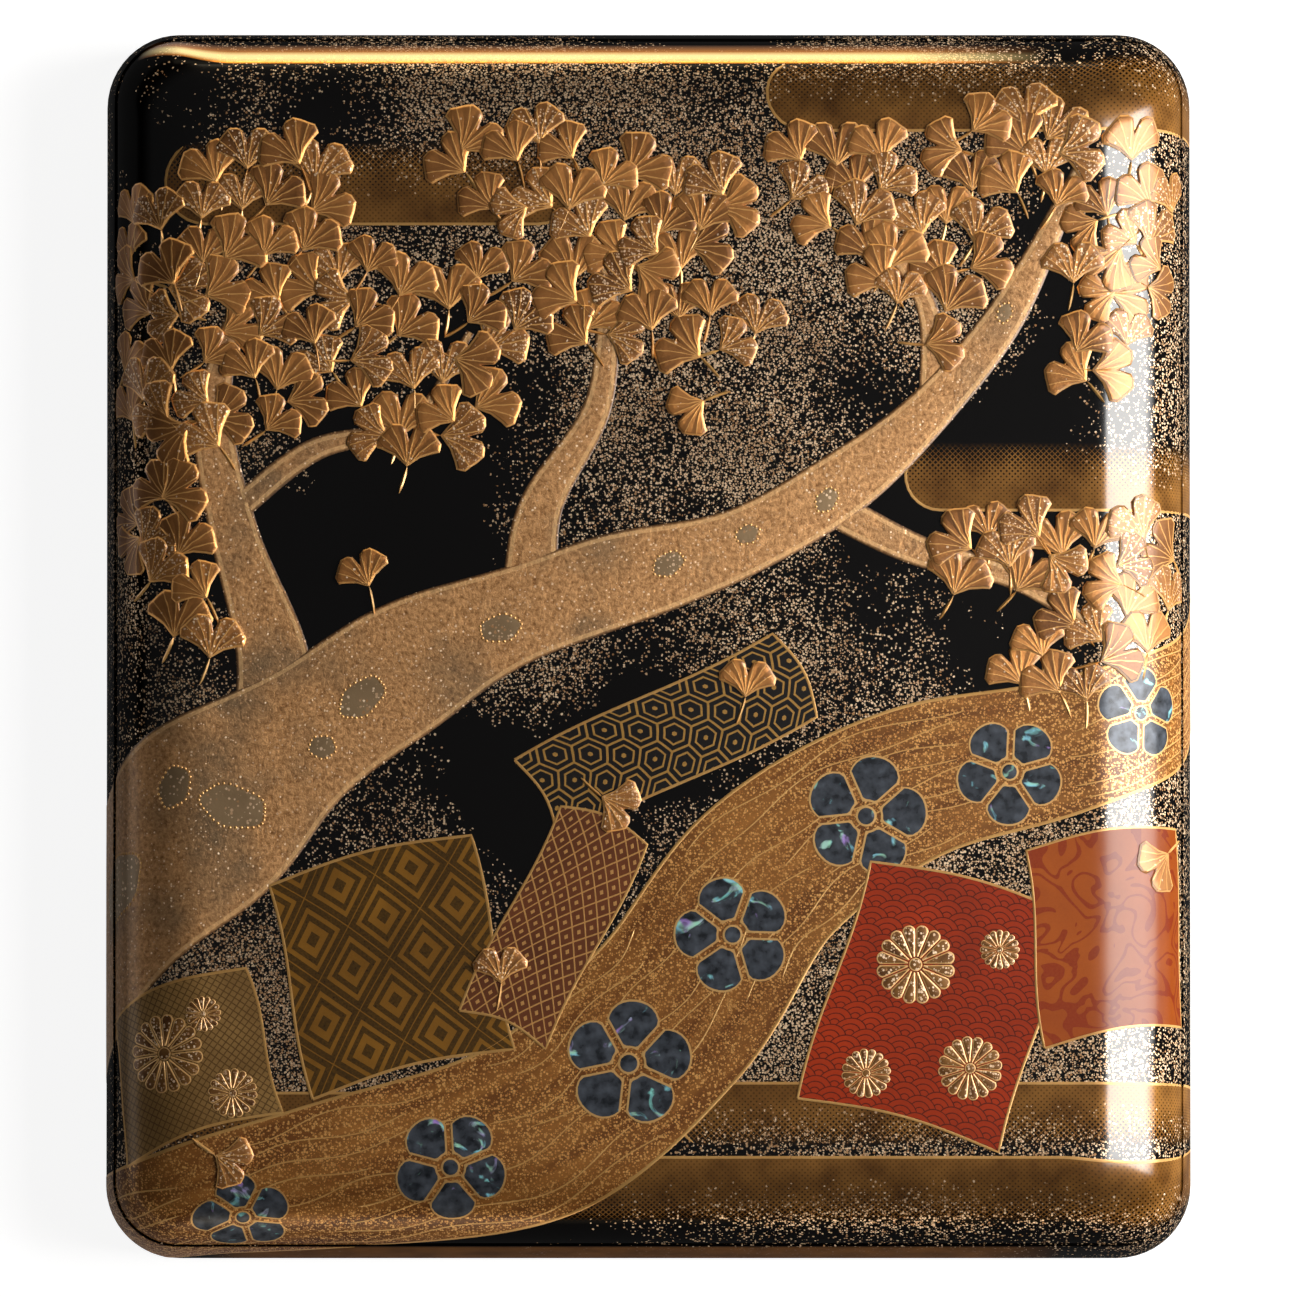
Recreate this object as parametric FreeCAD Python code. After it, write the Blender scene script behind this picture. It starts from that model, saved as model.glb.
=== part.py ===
import FreeCAD, Part

import math
import os

# Lacquered writing box with an overlapping lid, lying closed, with its fittings inside.
# X runs across the box, Y along it, Z up. The origin is the middle of the underside.
# All lengths are in millimetres.

V = FreeCAD.Vector
OVERRUN = 1.0

# Fits between pieces that are lifted out or slide
FIT_GAP = 0.5
LID_CLEARANCE = 0.6
SEAT_CLEARANCE = 0.3
CUTOUT_CLEARANCE = 0.4

# Ink stone: a slate slab with a raised rim, a grinding land and a well
INKSTONE_WIDTH = 74.0
INKSTONE_LENGTH = 116.0
INKSTONE_HEIGHT = 17.0
INKSTONE_CORNER_R = 6.0
INKSTONE_RIM = 5.5
INKSTONE_RIM_ROUND = 1.2
LAND_DROP = 2.2
WELL_DROP = 9.5
WELL_LENGTH = 26.0
WELL_SLOPE_LENGTH = 16.0
INKSTONE_UNDER_DROP = 2.0
INKSTONE_FOOT = 9.0

# Water dropper: two thin metal shells, a spout and an air hole with a raised ring
DROPPER_WIDTH = 52.0
DROPPER_LENGTH = 44.0
DROPPER_BOWL_HEIGHT = 10.0
DROPPER_TOP_HEIGHT = 8.0
DROPPER_CORNER_R = 9.0
DROPPER_WALL = 1.2
DROPPER_SHOULDER_R = 5.0
DROPPER_FOOT_R = 2.5
AIR_HOLE_R = 3.0
AIR_RING_R = 5.0
AIR_RING_HEIGHT = 1.2
SPOUT_R = 2.4
SPOUT_BORE_R = 1.2
SPOUT_LENGTH = 6.5
SPOUT_SHARE = 0.62

# Base board that holds the ink stone and the dropper in its two cut-outs
BOARD_BORDER = 9.0
BOARD_END = 22.2
BOARD_BRIDGE = 21.5
BOARD_THICKNESS = 8.0
BOARD_CORNER_R = 2.0

# Side trays
TRAY_WIDTH = 52.6
TRAY_HEIGHT = 16.0
TRAY_WALL = 2.4
TRAY_FLOOR = 2.4
TRAY_NOTCH_R = 8.0
REST_SPACING = 86.0
REST_THICKNESS = 4.0
REST_FLOOR_CLEARANCE = 2.4
TRAY_EDGE_ROUND = 0.7

# Box shell
BASE_WALL = 4.0
BASE_FLOOR = 4.0
BASE_INNER_DEPTH = 25.5
BASE_INNER_CORNER_R = 4.8
BASE_LIP_ROUND = 1.2
LEDGE_HEIGHT = 11.0
PLINTH_TAPER = 2.4
PLINTH_BOW_DEG = 65.0
PLINTH_STEPS = 4
LEDGE_INSET = 0.4

# Lid
LID_WALL = 4.0
SKIRT_FLARE = 1.8
SKIRT_HEIGHT = 19.0
SKIRT_BOW_DEG = 62.0
SKIRT_STEPS = 4
ARRIS_STEP = 0.4
ROLL_WIDTH = 18.0
ROLL_HEIGHT = 14.0
ROLL_SWEEP_DEG = 80.0
ROLL_STEPS = 9
ROLL_TOP_CORNER_R = 6.5
CROWN = 1.6
CROWN_SHARES = (0.85, 0.65, 0.45, 0.25)
LID_TOP_WALL = 4.6
LID_CEILING_R = 9.0

# Brushes
BRUSH_HANDLE_R = 4.5
BRUSH_HANDLE_LENGTH = 120.0
BRUSH_KNOB_LENGTH = 6.0
BRUSH_KNOB_NECK_R = 2.4
BRUSH_COLLAR_LENGTH = 3.0
BRUSH_COLLAR_R = 4.75
BRUSH_COLLAR_BORE_R = 4.1
BRUSH_SPIGOT_LENGTH = 8.0
BRUSH_SPIGOT_R = 3.8
HAIR_ROOT_R = 3.0
HAIR_ROOT_LENGTH = 6.0
HAIR_LENGTH = 30.0
HAIR_BELLY_SHARE = 1.1
HAIR_TIP_R = 0.3
CAP_R = 4.9
CAP_BORE_R = 4.0
CAP_LENGTH = 50.0
CAP_END = 4.0
BRUSH_COUNT = 2

# Paper knife
KNIFE_WIDTH = 11.5
KNIFE_THICKNESS = 8.5
KNIFE_HANDLE_LENGTH = 112.0
KNIFE_CORNER_R = 3.0
KNIFE_COLLAR_LENGTH = 3.5
KNIFE_COLLAR_PROUD = 0.25
BLADE_WIDTH = 7.6
BLADE_THICKNESS = 1.4
BLADE_LENGTH = 45.0
BLADE_POINT_LENGTH = 12.0
TANG_WIDTH = 4.2
TANG_LENGTH = 22.0
SHEATH_END = 4.0
SHEATH_CLEARANCE = 0.5

# Paper awl
AWL_R = 4.5
AWL_HANDLE_LENGTH = 100.0
AWL_SPIKE_LENGTH = 42.0
AWL_SPIKE_R = 1.3
AWL_TIP_R = 0.3
AWL_TANG_LENGTH = 18.0
AWL_COLLAR_LENGTH = 3.5
AWL_COLLAR_PROUD = 0.25
AWL_SHEATH_END = 4.0
AWL_SHEATH_CLEARANCE = 0.5

# Ink stick and its holder
INK_WIDTH = 13.0
INK_THICKNESS = 7.4
INK_LENGTH = 70.0
INK_CORNER_R = 1.4
INK_DEPTH_IN_HOLDER = 36.0
HOLDER_WALL = 1.5
HOLDER_LENGTH = 62.0
HOLDER_CORNER_R = 2.0
HOLDER_BAND_LENGTH = 3.0
HOLDER_BAND_PROUD = 0.25
INK_CLEARANCE = 0.15

# Plan sizes, worked out from the fittings outwards
CUTOUT_GROWTH = 2 * CUTOUT_CLEARANCE
BOARD_WIDTH = INKSTONE_WIDTH + CUTOUT_GROWTH + 2 * BOARD_BORDER
BOARD_LENGTH = (
    2 * BOARD_END + INKSTONE_LENGTH + BOARD_BRIDGE + DROPPER_LENGTH + 2 * CUTOUT_GROWTH
)
INNER_WIDTH = BOARD_WIDTH + 2 * TRAY_WIDTH + 4 * FIT_GAP
INNER_DEPTH = BOARD_LENGTH + 2 * FIT_GAP
WALL_WIDTH = INNER_WIDTH + 2 * BASE_WALL
WALL_DEPTH = INNER_DEPTH + 2 * BASE_WALL
WALL_CORNER_R = BASE_INNER_CORNER_R + BASE_WALL
CAVITY_WIDTH = WALL_WIDTH + 2 * LID_CLEARANCE
CAVITY_DEPTH = WALL_DEPTH + 2 * LID_CLEARANCE
CAVITY_CORNER_R = WALL_CORNER_R + LID_CLEARANCE
FOOT_GROWTH = LID_WALL + SKIRT_FLARE
BOX_WIDTH = CAVITY_WIDTH + 2 * FOOT_GROWTH
BOX_DEPTH = CAVITY_DEPTH + 2 * FOOT_GROWTH
BOX_CORNER_R = CAVITY_CORNER_R + FOOT_GROWTH

# Heights
ARRIS_Z = LEDGE_HEIGHT + SKIRT_HEIGHT
ROLL_TOP_Z = ARRIS_Z + ROLL_HEIGHT
LID_CEILING_Z = ROLL_TOP_Z - LID_TOP_WALL
BASE_RIM_Z = BASE_FLOOR + BASE_INNER_DEPTH
TRAY_FLOOR_Z = BASE_FLOOR + TRAY_FLOOR
INKSTONE_TOP_Z = BASE_FLOOR + INKSTONE_HEIGHT

# Places of the fittings
TRAY_X = BOARD_WIDTH / 2 + FIT_GAP + TRAY_WIDTH / 2
TRAY_INNER_WIDTH = TRAY_WIDTH - 2 * TRAY_WALL
TRAY_CORNER_R = BASE_INNER_CORNER_R - FIT_GAP
INKSTONE_Y = -BOARD_LENGTH / 2 + BOARD_END + CUTOUT_CLEARANCE + INKSTONE_LENGTH / 2
DROPPER_Y = BOARD_LENGTH / 2 - BOARD_END - CUTOUT_CLEARANCE - DROPPER_LENGTH / 2
REST_REACH = REST_SPACING / 2 + REST_THICKNESS
HOLDER_GROWTH = 2 * (INK_CLEARANCE + HOLDER_WALL)
HOLDER_WIDTH = INK_WIDTH + HOLDER_GROWTH
HOLDER_THICKNESS = INK_THICKNESS + HOLDER_GROWTH
DEEPEST_TOOL = max(CAP_R, AWL_R, KNIFE_THICKNESS / 2, HOLDER_THICKNESS / 2)
REST_AXIS_Z = TRAY_FLOOR_Z + REST_FLOOR_CLEARANCE + DEEPEST_TOOL + SEAT_CLEARANCE


def outline(width, depth, radius, z):
    """A rectangle with rounded corners, centred on the origin at height z."""
    a = width / 2
    b = depth / 2
    k = radius * (1 - math.sqrt(0.5))
    corners = ((a, -b, 1, -1), (a, b, 1, 1), (-a, b, -1, 1), (-a, -b, -1, -1))
    arcs = []
    for x, y, sx, sy in corners:
        along_x = V(x - sx * radius, y, z)
        along_y = V(x, y - sy * radius, z)
        middle = V(x - sx * k, y - sy * k, z)
        first, last = (along_x, along_y) if sx * sy < 0 else (along_y, along_x)
        arcs.append((first, middle, last))
    edges = []
    for i, (first, middle, last) in enumerate(arcs):
        before = arcs[i - 1][2]
        edges.append(Part.LineSegment(before, first).toShape())
        edges.append(Part.Arc(first, middle, last).toShape())
    return Part.Wire(edges)


def slab(width, depth, radius, low, high, x=0.0, y=0.0):
    """An upright block with rounded corners between two heights."""
    block = Part.Face(outline(width, depth, radius, low)).extrude(V(0, 0, high - low))
    block.translate(V(x, y, 0))
    return block


def box_between(low, high):
    """A plain box from its lowest to its highest corner."""
    size = high - low
    return Part.makeBox(size.x, size.y, size.z, low)


def edges_at(shape, z):
    """The edges that lie wholly at one height."""
    near = SEAT_CLEARANCE / 10
    return [e for e in shape.Edges if abs(e.BoundBox.ZMin - z) < near and abs(e.BoundBox.ZMax - z) < near]


def end_edges(shape, y):
    """The edges that lie wholly at one place along Y."""
    near = SEAT_CLEARANCE / 10
    return [e for e in shape.Edges if abs(e.BoundBox.YMin - y) < near and abs(e.BoundBox.YMax - y) < near]


def long_bar(width, height, radius, start, end, x, z):
    """A bar along Y with rounded long edges, centred on x and z."""
    bar = Part.Face(outline(width, height, radius, 0)).extrude(V(0, 0, end - start))
    bar.rotate(V(0, 0, 0), V(1, 0, 0), -90)
    bar.translate(V(x, start, z))
    return bar


def turned(points, x, z):
    """A solid turned about a Y axis, from (radius, y) points."""
    loop = [V(r, y, 0) for r, y in points]
    face = Part.Face(Part.makePolygon(loop + [loop[0]]))
    solid = face.revolve(V(0, 0, 0), V(0, 1, 0), 360)
    solid.translate(V(x, 0, z))
    return solid


def rod(radius, start, end, x, z):
    """A round rod along Y."""
    return Part.makeCylinder(radius, end - start, V(x, start, z), V(0, 1, 0))


def bowed_sections(low, high, inset_low, inset_high, bow_deg, steps):
    """Outlines up a side wall that bows like part of an ellipse, upright at the foot."""
    sections = []
    end = math.radians(bow_deg)
    for i in range(steps + 1):
        angle = end * i / steps
        share = (1 - math.cos(angle)) / (1 - math.cos(end))
        inset = inset_low + (inset_high - inset_low) * share
        z = low + (high - low) * math.sin(angle) / math.sin(end)
        sections.append(
            outline(BOX_WIDTH - 2 * inset, BOX_DEPTH - 2 * inset, BOX_CORNER_R - inset, z)
        )
    return sections


def lid_skirt():
    """The lid's side below the arris, flared out to its foot."""
    sections = bowed_sections(LEDGE_HEIGHT, ARRIS_Z, 0.0, SKIRT_FLARE, SKIRT_BOW_DEG, SKIRT_STEPS)
    return Part.makeLoft(sections, True, True)


def lid_roll():
    """The lid above the arris: the rolled shoulder and the low crown."""
    end = math.radians(ROLL_SWEEP_DEG)
    first_inset = SKIRT_FLARE + ARRIS_STEP
    first_r = BOX_CORNER_R - first_inset
    sections = []
    for i in range(ROLL_STEPS + 1):
        angle = end * (1 - i / ROLL_STEPS)
        share = 1 - math.sin(angle) / math.sin(end)
        inset = first_inset + ROLL_WIDTH * share
        rise = (math.cos(angle) - math.cos(end)) / (1 - math.cos(end))
        radius = first_r + (ROLL_TOP_CORNER_R - first_r) * share
        z = ARRIS_Z + ROLL_HEIGHT * rise
        sections.append(outline(BOX_WIDTH - 2 * inset, BOX_DEPTH - 2 * inset, radius, z))
    top_width = BOX_WIDTH - 2 * (first_inset + ROLL_WIDTH)
    top_depth = BOX_DEPTH - 2 * (first_inset + ROLL_WIDTH)
    for share in CROWN_SHARES:
        z = ROLL_TOP_Z + CROWN * (1 - share * share) ** 2
        sections.append(outline(top_width * share, top_depth * share, ROLL_TOP_CORNER_R, z))
    return Part.makeLoft(sections, True, True)


def lid():
    """The overlapping lid, hollowed out to drop over the base's wall."""
    shell = lid_skirt().fuse(lid_roll()).removeSplitter()
    cavity = slab(
        CAVITY_WIDTH, CAVITY_DEPTH, CAVITY_CORNER_R, LEDGE_HEIGHT - OVERRUN, LID_CEILING_Z
    )
    ceiling_r = min(LID_CEILING_R, CAVITY_CORNER_R - SEAT_CLEARANCE)
    cavity = cavity.makeFillet(ceiling_r, edges_at(cavity, LID_CEILING_Z))
    return shell.cut(cavity)


def base_box():
    """The base: a bowed plinth with a ledge for the lid, and the wall that the lid covers."""
    sections = bowed_sections(
        -LEDGE_HEIGHT, 0.0, LEDGE_INSET, LEDGE_INSET + PLINTH_TAPER, PLINTH_BOW_DEG, PLINTH_STEPS
    )
    plinth = Part.makeLoft(sections, True, True)
    plinth.rotate(V(0, 0, 0), V(1, 0, 0), 180)
    wall = slab(WALL_WIDTH, WALL_DEPTH, WALL_CORNER_R, BASE_FLOOR / 2, BASE_RIM_Z)
    wall = wall.makeFillet(BASE_LIP_ROUND, edges_at(wall, BASE_RIM_Z))
    inside = slab(
        INNER_WIDTH, INNER_DEPTH, BASE_INNER_CORNER_R, BASE_FLOOR, BASE_RIM_Z + OVERRUN
    )
    return plinth.fuse(wall).cut(inside).removeSplitter()


def board():
    """The base board, with a cut-out for the ink stone and one for the dropper."""
    top = BASE_FLOOR + BOARD_THICKNESS
    plate = slab(BOARD_WIDTH, BOARD_LENGTH, BOARD_CORNER_R, BASE_FLOOR, top)
    plate = plate.makeFillet(TRAY_EDGE_ROUND, edges_at(plate, top))
    low = BASE_FLOOR - OVERRUN
    high = top + OVERRUN
    stone_hole = slab(
        INKSTONE_WIDTH + CUTOUT_GROWTH,
        INKSTONE_LENGTH + CUTOUT_GROWTH,
        INKSTONE_CORNER_R + CUTOUT_CLEARANCE,
        low,
        high,
        y=INKSTONE_Y,
    )
    dropper_hole = slab(
        DROPPER_WIDTH + CUTOUT_GROWTH,
        DROPPER_LENGTH + CUTOUT_GROWTH,
        DROPPER_CORNER_R + CUTOUT_CLEARANCE,
        low,
        high,
        y=DROPPER_Y,
    )
    return plate.cut(stone_hole).cut(dropper_hole)


def inkstone():
    """The ink stone: a raised rim round the land, which slopes down into the well."""
    stone = slab(
        INKSTONE_WIDTH, INKSTONE_LENGTH, INKSTONE_CORNER_R, BASE_FLOOR, INKSTONE_TOP_Z, y=INKSTONE_Y
    )
    stone = stone.makeFillet(INKSTONE_RIM_ROUND, edges_at(stone, INKSTONE_TOP_Z))
    pool_width = INKSTONE_WIDTH - 2 * INKSTONE_RIM
    pool_length = INKSTONE_LENGTH - 2 * INKSTONE_RIM
    land_z = INKSTONE_TOP_Z - LAND_DROP
    well_z = INKSTONE_TOP_Z - WELL_DROP
    front = INKSTONE_Y - pool_length / 2
    back = INKSTONE_Y + pool_length / 2
    slope_end = back - WELL_LENGTH
    slope_start = slope_end - WELL_SLOPE_LENGTH
    top = INKSTONE_TOP_Z + OVERRUN
    side = [
        V(-pool_width / 2, front, top),
        V(-pool_width / 2, front, land_z),
        V(-pool_width / 2, slope_start, land_z),
        V(-pool_width / 2, slope_end, well_z),
        V(-pool_width / 2, back, well_z),
        V(-pool_width / 2, back, top),
    ]
    pool = Part.Face(Part.makePolygon(side + [side[0]])).extrude(V(pool_width, 0, 0))
    pool_corner = INKSTONE_CORNER_R
    pool = pool.common(slab(pool_width, pool_length, pool_corner, well_z, top, y=INKSTONE_Y))
    under = slab(
        INKSTONE_WIDTH - 2 * INKSTONE_FOOT,
        INKSTONE_LENGTH - 2 * INKSTONE_FOOT,
        INKSTONE_CORNER_R,
        BASE_FLOOR - OVERRUN,
        BASE_FLOOR + INKSTONE_UNDER_DROP,
        y=INKSTONE_Y,
    )
    return stone.cut(pool).cut(under)


def dropper_block(low, high, inset, round_z, round_r):
    """A block of the dropper's plan, taken in by inset, with the edges at one height rounded."""
    block = slab(
        DROPPER_WIDTH - 2 * inset,
        DROPPER_LENGTH - 2 * inset,
        DROPPER_CORNER_R - inset,
        low,
        high,
        y=DROPPER_Y,
    )
    return block.makeFillet(round_r, edges_at(block, round_z))


def dropper():
    """The water dropper's bowl, top, spout and air-hole ring."""
    seam_z = BASE_FLOOR + DROPPER_BOWL_HEIGHT
    top_z = seam_z + DROPPER_TOP_HEIGHT
    bowl_floor = BASE_FLOOR + DROPPER_WALL
    bowl = dropper_block(BASE_FLOOR, seam_z, 0.0, BASE_FLOOR, DROPPER_FOOT_R)
    bowl_inside = dropper_block(
        bowl_floor, seam_z + OVERRUN, DROPPER_WALL, bowl_floor, DROPPER_FOOT_R - DROPPER_WALL
    )
    outer = dropper_block(seam_z, top_z, 0.0, top_z, DROPPER_SHOULDER_R)
    ceiling = top_z - DROPPER_WALL
    top_inside = dropper_block(
        seam_z - OVERRUN, ceiling, DROPPER_WALL, ceiling, DROPPER_SHOULDER_R - DROPPER_WALL
    )
    air_hole = Part.makeCylinder(AIR_HOLE_R, DROPPER_TOP_HEIGHT, V(0, DROPPER_Y, seam_z))
    spout_x = -SPOUT_SHARE * (DROPPER_WIDTH / 2 - DROPPER_CORNER_R)
    spout_z = seam_z + SPOUT_R + DROPPER_WALL / 2
    wall_y = DROPPER_Y - DROPPER_LENGTH / 2
    spout_start = V(spout_x, wall_y + DROPPER_WALL / 2, spout_z)
    outwards = V(0, -1, 0)
    reach = SPOUT_LENGTH + DROPPER_WALL / 2
    spout = Part.makeCylinder(SPOUT_R, reach, spout_start, outwards)
    bore_start = spout_start - outwards * DROPPER_WALL * 2
    spout_bore = Part.makeCylinder(SPOUT_BORE_R, reach + DROPPER_WALL * 3, bore_start, outwards)
    top = outer.cut(top_inside).cut(air_hole).cut(spout_bore)
    ring = Part.makeCylinder(AIR_RING_R, AIR_RING_HEIGHT, V(0, DROPPER_Y, top_z))
    ring = ring.makeFillet(AIR_RING_HEIGHT / 2, edges_at(ring, top_z + AIR_RING_HEIGHT))
    ring_hole = Part.makeCylinder(AIR_HOLE_R, AIR_RING_HEIGHT + OVERRUN, V(0, DROPPER_Y, top_z))
    return {
        "dropper_bowl": bowl.cut(bowl_inside),
        "dropper_top": top,
        "dropper_spout": spout.cut(outer).cut(spout_bore),
        "dropper_air_ring": ring.cut(ring_hole),
    }


def tray(x, notch_side):
    """A side tray with a finger notch in the wall beside the board."""
    top = BASE_FLOOR + TRAY_HEIGHT
    length = INNER_DEPTH - 2 * FIT_GAP
    body = slab(TRAY_WIDTH, length, TRAY_CORNER_R, BASE_FLOOR, top, x=x)
    body = body.makeFillet(TRAY_EDGE_ROUND, edges_at(body, top))
    hollow = slab(
        TRAY_INNER_WIDTH,
        length - 2 * TRAY_WALL,
        max(TRAY_CORNER_R - TRAY_WALL, TRAY_EDGE_ROUND),
        TRAY_FLOOR_Z,
        top + OVERRUN,
        x=x,
    )
    wall_x = x + notch_side * TRAY_WIDTH / 2
    notch = Part.makeCylinder(
        TRAY_NOTCH_R, 4 * TRAY_WALL, V(wall_x - 2 * TRAY_WALL, 0, top), V(1, 0, 0)
    )
    return body.cut(hollow).cut(notch)


def rest_bar(x, side, notches):
    """A notched bar across a tray that the tools lie on, at its far or near end."""
    y = side * REST_SPACING / 2
    bar = box_between(
        V(x - TRAY_INNER_WIDTH / 2, y - REST_THICKNESS / 2, TRAY_FLOOR_Z),
        V(x + TRAY_INNER_WIDTH / 2, y + REST_THICKNESS / 2, REST_AXIS_Z),
    )
    for notch in notches:
        bar = bar.cut(notch)
    return bar


def round_notch(radius, x):
    """The notch that a round tool lies in."""
    return rod(radius + SEAT_CLEARANCE, -REST_REACH, REST_REACH, x, REST_AXIS_Z)


def flat_notch(width, thickness, x):
    """The notch that a flat tool lies in."""
    return box_between(
        V(
            x - width / 2 - SEAT_CLEARANCE,
            -REST_REACH,
            REST_AXIS_Z - thickness / 2 - SEAT_CLEARANCE,
        ),
        V(x + width / 2 + SEAT_CLEARANCE, REST_REACH, REST_AXIS_Z + OVERRUN),
    )


def brush_x(index):
    """Where a brush lies across its tray, all evenly spread."""
    free = TRAY_INNER_WIDTH - BRUSH_COUNT * 2 * CAP_R
    gap = free / (BRUSH_COUNT + 1)
    return -TRAY_X - TRAY_INNER_WIDTH / 2 + gap * (index + 1) + CAP_R * (2 * index + 1)


def brush(x, z):
    """One brush along Y: knob, handle, collar, hair and the cap over the hair."""
    total = BRUSH_KNOB_LENGTH + BRUSH_HANDLE_LENGTH + BRUSH_COLLAR_LENGTH + CAP_LENGTH
    knob_y = -total / 2
    tail_y = knob_y + BRUSH_KNOB_LENGTH
    seat_y = tail_y + BRUSH_HANDLE_LENGTH
    mouth_y = seat_y + BRUSH_COLLAR_LENGTH
    spigot_y = mouth_y + BRUSH_SPIGOT_LENGTH
    root_y = spigot_y - HAIR_ROOT_LENGTH
    tip_y = spigot_y + HAIR_LENGTH
    knob = turned(
        [
            (0, knob_y),
            (BRUSH_HANDLE_R / 2, knob_y),
            (BRUSH_HANDLE_R, knob_y + BRUSH_KNOB_LENGTH / 3),
            (BRUSH_HANDLE_R, knob_y + BRUSH_KNOB_LENGTH / 2),
            (BRUSH_KNOB_NECK_R, tail_y - BRUSH_KNOB_LENGTH / 4),
            (BRUSH_HANDLE_R, tail_y),
            (0, tail_y),
        ],
        x,
        z,
    )
    handle = turned(
        [
            (0, tail_y),
            (BRUSH_HANDLE_R, tail_y),
            (BRUSH_HANDLE_R, seat_y),
            (BRUSH_COLLAR_BORE_R, seat_y),
            (BRUSH_COLLAR_BORE_R, mouth_y),
            (BRUSH_SPIGOT_R, mouth_y),
            (BRUSH_SPIGOT_R, spigot_y),
            (HAIR_ROOT_R, spigot_y),
            (HAIR_ROOT_R, root_y),
            (0, root_y),
        ],
        x,
        z,
    )
    collar = rod(BRUSH_COLLAR_R, seat_y, mouth_y, x, z).cut(
        rod(BRUSH_COLLAR_BORE_R, seat_y - OVERRUN, mouth_y + OVERRUN, x, z)
    )
    hair = turned(
        [
            (0, root_y),
            (HAIR_ROOT_R, root_y),
            (HAIR_ROOT_R, spigot_y),
            (HAIR_ROOT_R * HAIR_BELLY_SHARE, spigot_y + HAIR_LENGTH / 4),
            (HAIR_ROOT_R, spigot_y + HAIR_LENGTH / 2),
            (HAIR_ROOT_R / 2, spigot_y + HAIR_LENGTH * 5 / 6),
            (HAIR_TIP_R, tip_y),
            (0, tip_y),
        ],
        x,
        z,
    )
    cap = rod(CAP_R, mouth_y, mouth_y + CAP_LENGTH, x, z).cut(
        rod(CAP_BORE_R, mouth_y - OVERRUN, mouth_y + CAP_LENGTH - CAP_END, x, z)
    )
    cap = cap.makeFillet(CAP_END / 4, end_edges(cap, mouth_y + CAP_LENGTH))
    return {"knob": knob, "handle": handle, "collar": collar, "hair": hair, "cap": cap}


def tool_places():
    """X of the knife, the awl and the ink holder, spread evenly across their tray."""
    widths = (KNIFE_WIDTH, 2 * AWL_R, HOLDER_WIDTH)
    gap = (TRAY_INNER_WIDTH - sum(widths)) / (len(widths) + 1)
    places = []
    x = TRAY_X - TRAY_INNER_WIDTH / 2
    for width in widths:
        x += gap + width / 2
        places.append(x)
        x += width / 2
    return places


def knife(x, z):
    """The paper knife along Y: handle, collar, blade and sheath."""
    sheath_length = BLADE_LENGTH + SHEATH_CLEARANCE + SHEATH_END
    total = KNIFE_HANDLE_LENGTH + KNIFE_COLLAR_LENGTH + sheath_length
    tail_y = -total / 2
    collar_y = tail_y + KNIFE_HANDLE_LENGTH
    mouth_y = collar_y + KNIFE_COLLAR_LENGTH
    end_y = mouth_y + sheath_length
    tip_y = mouth_y + BLADE_LENGTH
    low = z - BLADE_THICKNESS / 2
    edge_x = x - BLADE_WIDTH / 2
    back_x = x + BLADE_WIDTH / 2
    flat = [
        V(edge_x, mouth_y, low),
        V(back_x, mouth_y, low),
        V(back_x, tip_y, low),
        V(edge_x, tip_y - BLADE_POINT_LENGTH, low),
    ]
    blade = Part.Face(Part.makePolygon(flat + [flat[0]])).extrude(V(0, 0, BLADE_THICKNESS))
    tang = box_between(
        V(x - TANG_WIDTH / 2, mouth_y - TANG_LENGTH, low),
        V(x + TANG_WIDTH / 2, mouth_y, low + BLADE_THICKNESS),
    )
    blade = blade.fuse(tang).removeSplitter()
    handle = long_bar(KNIFE_WIDTH, KNIFE_THICKNESS, KNIFE_CORNER_R, tail_y, collar_y, x, z)
    collar = long_bar(
        KNIFE_WIDTH + 2 * KNIFE_COLLAR_PROUD,
        KNIFE_THICKNESS + 2 * KNIFE_COLLAR_PROUD,
        KNIFE_CORNER_R + KNIFE_COLLAR_PROUD,
        collar_y,
        mouth_y,
        x,
        z,
    )
    sheath = long_bar(KNIFE_WIDTH, KNIFE_THICKNESS, KNIFE_CORNER_R, mouth_y, end_y, x, z)
    pocket = box_between(
        V(edge_x - SHEATH_CLEARANCE, mouth_y - OVERRUN, low - SHEATH_CLEARANCE),
        V(
            back_x + SHEATH_CLEARANCE,
            tip_y + SHEATH_CLEARANCE,
            low + BLADE_THICKNESS + SHEATH_CLEARANCE,
        ),
    )
    return {
        "knife_handle": handle.cut(blade),
        "knife_collar": collar.cut(blade),
        "knife_blade": blade,
        "knife_sheath": sheath.cut(pocket),
    }


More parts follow.
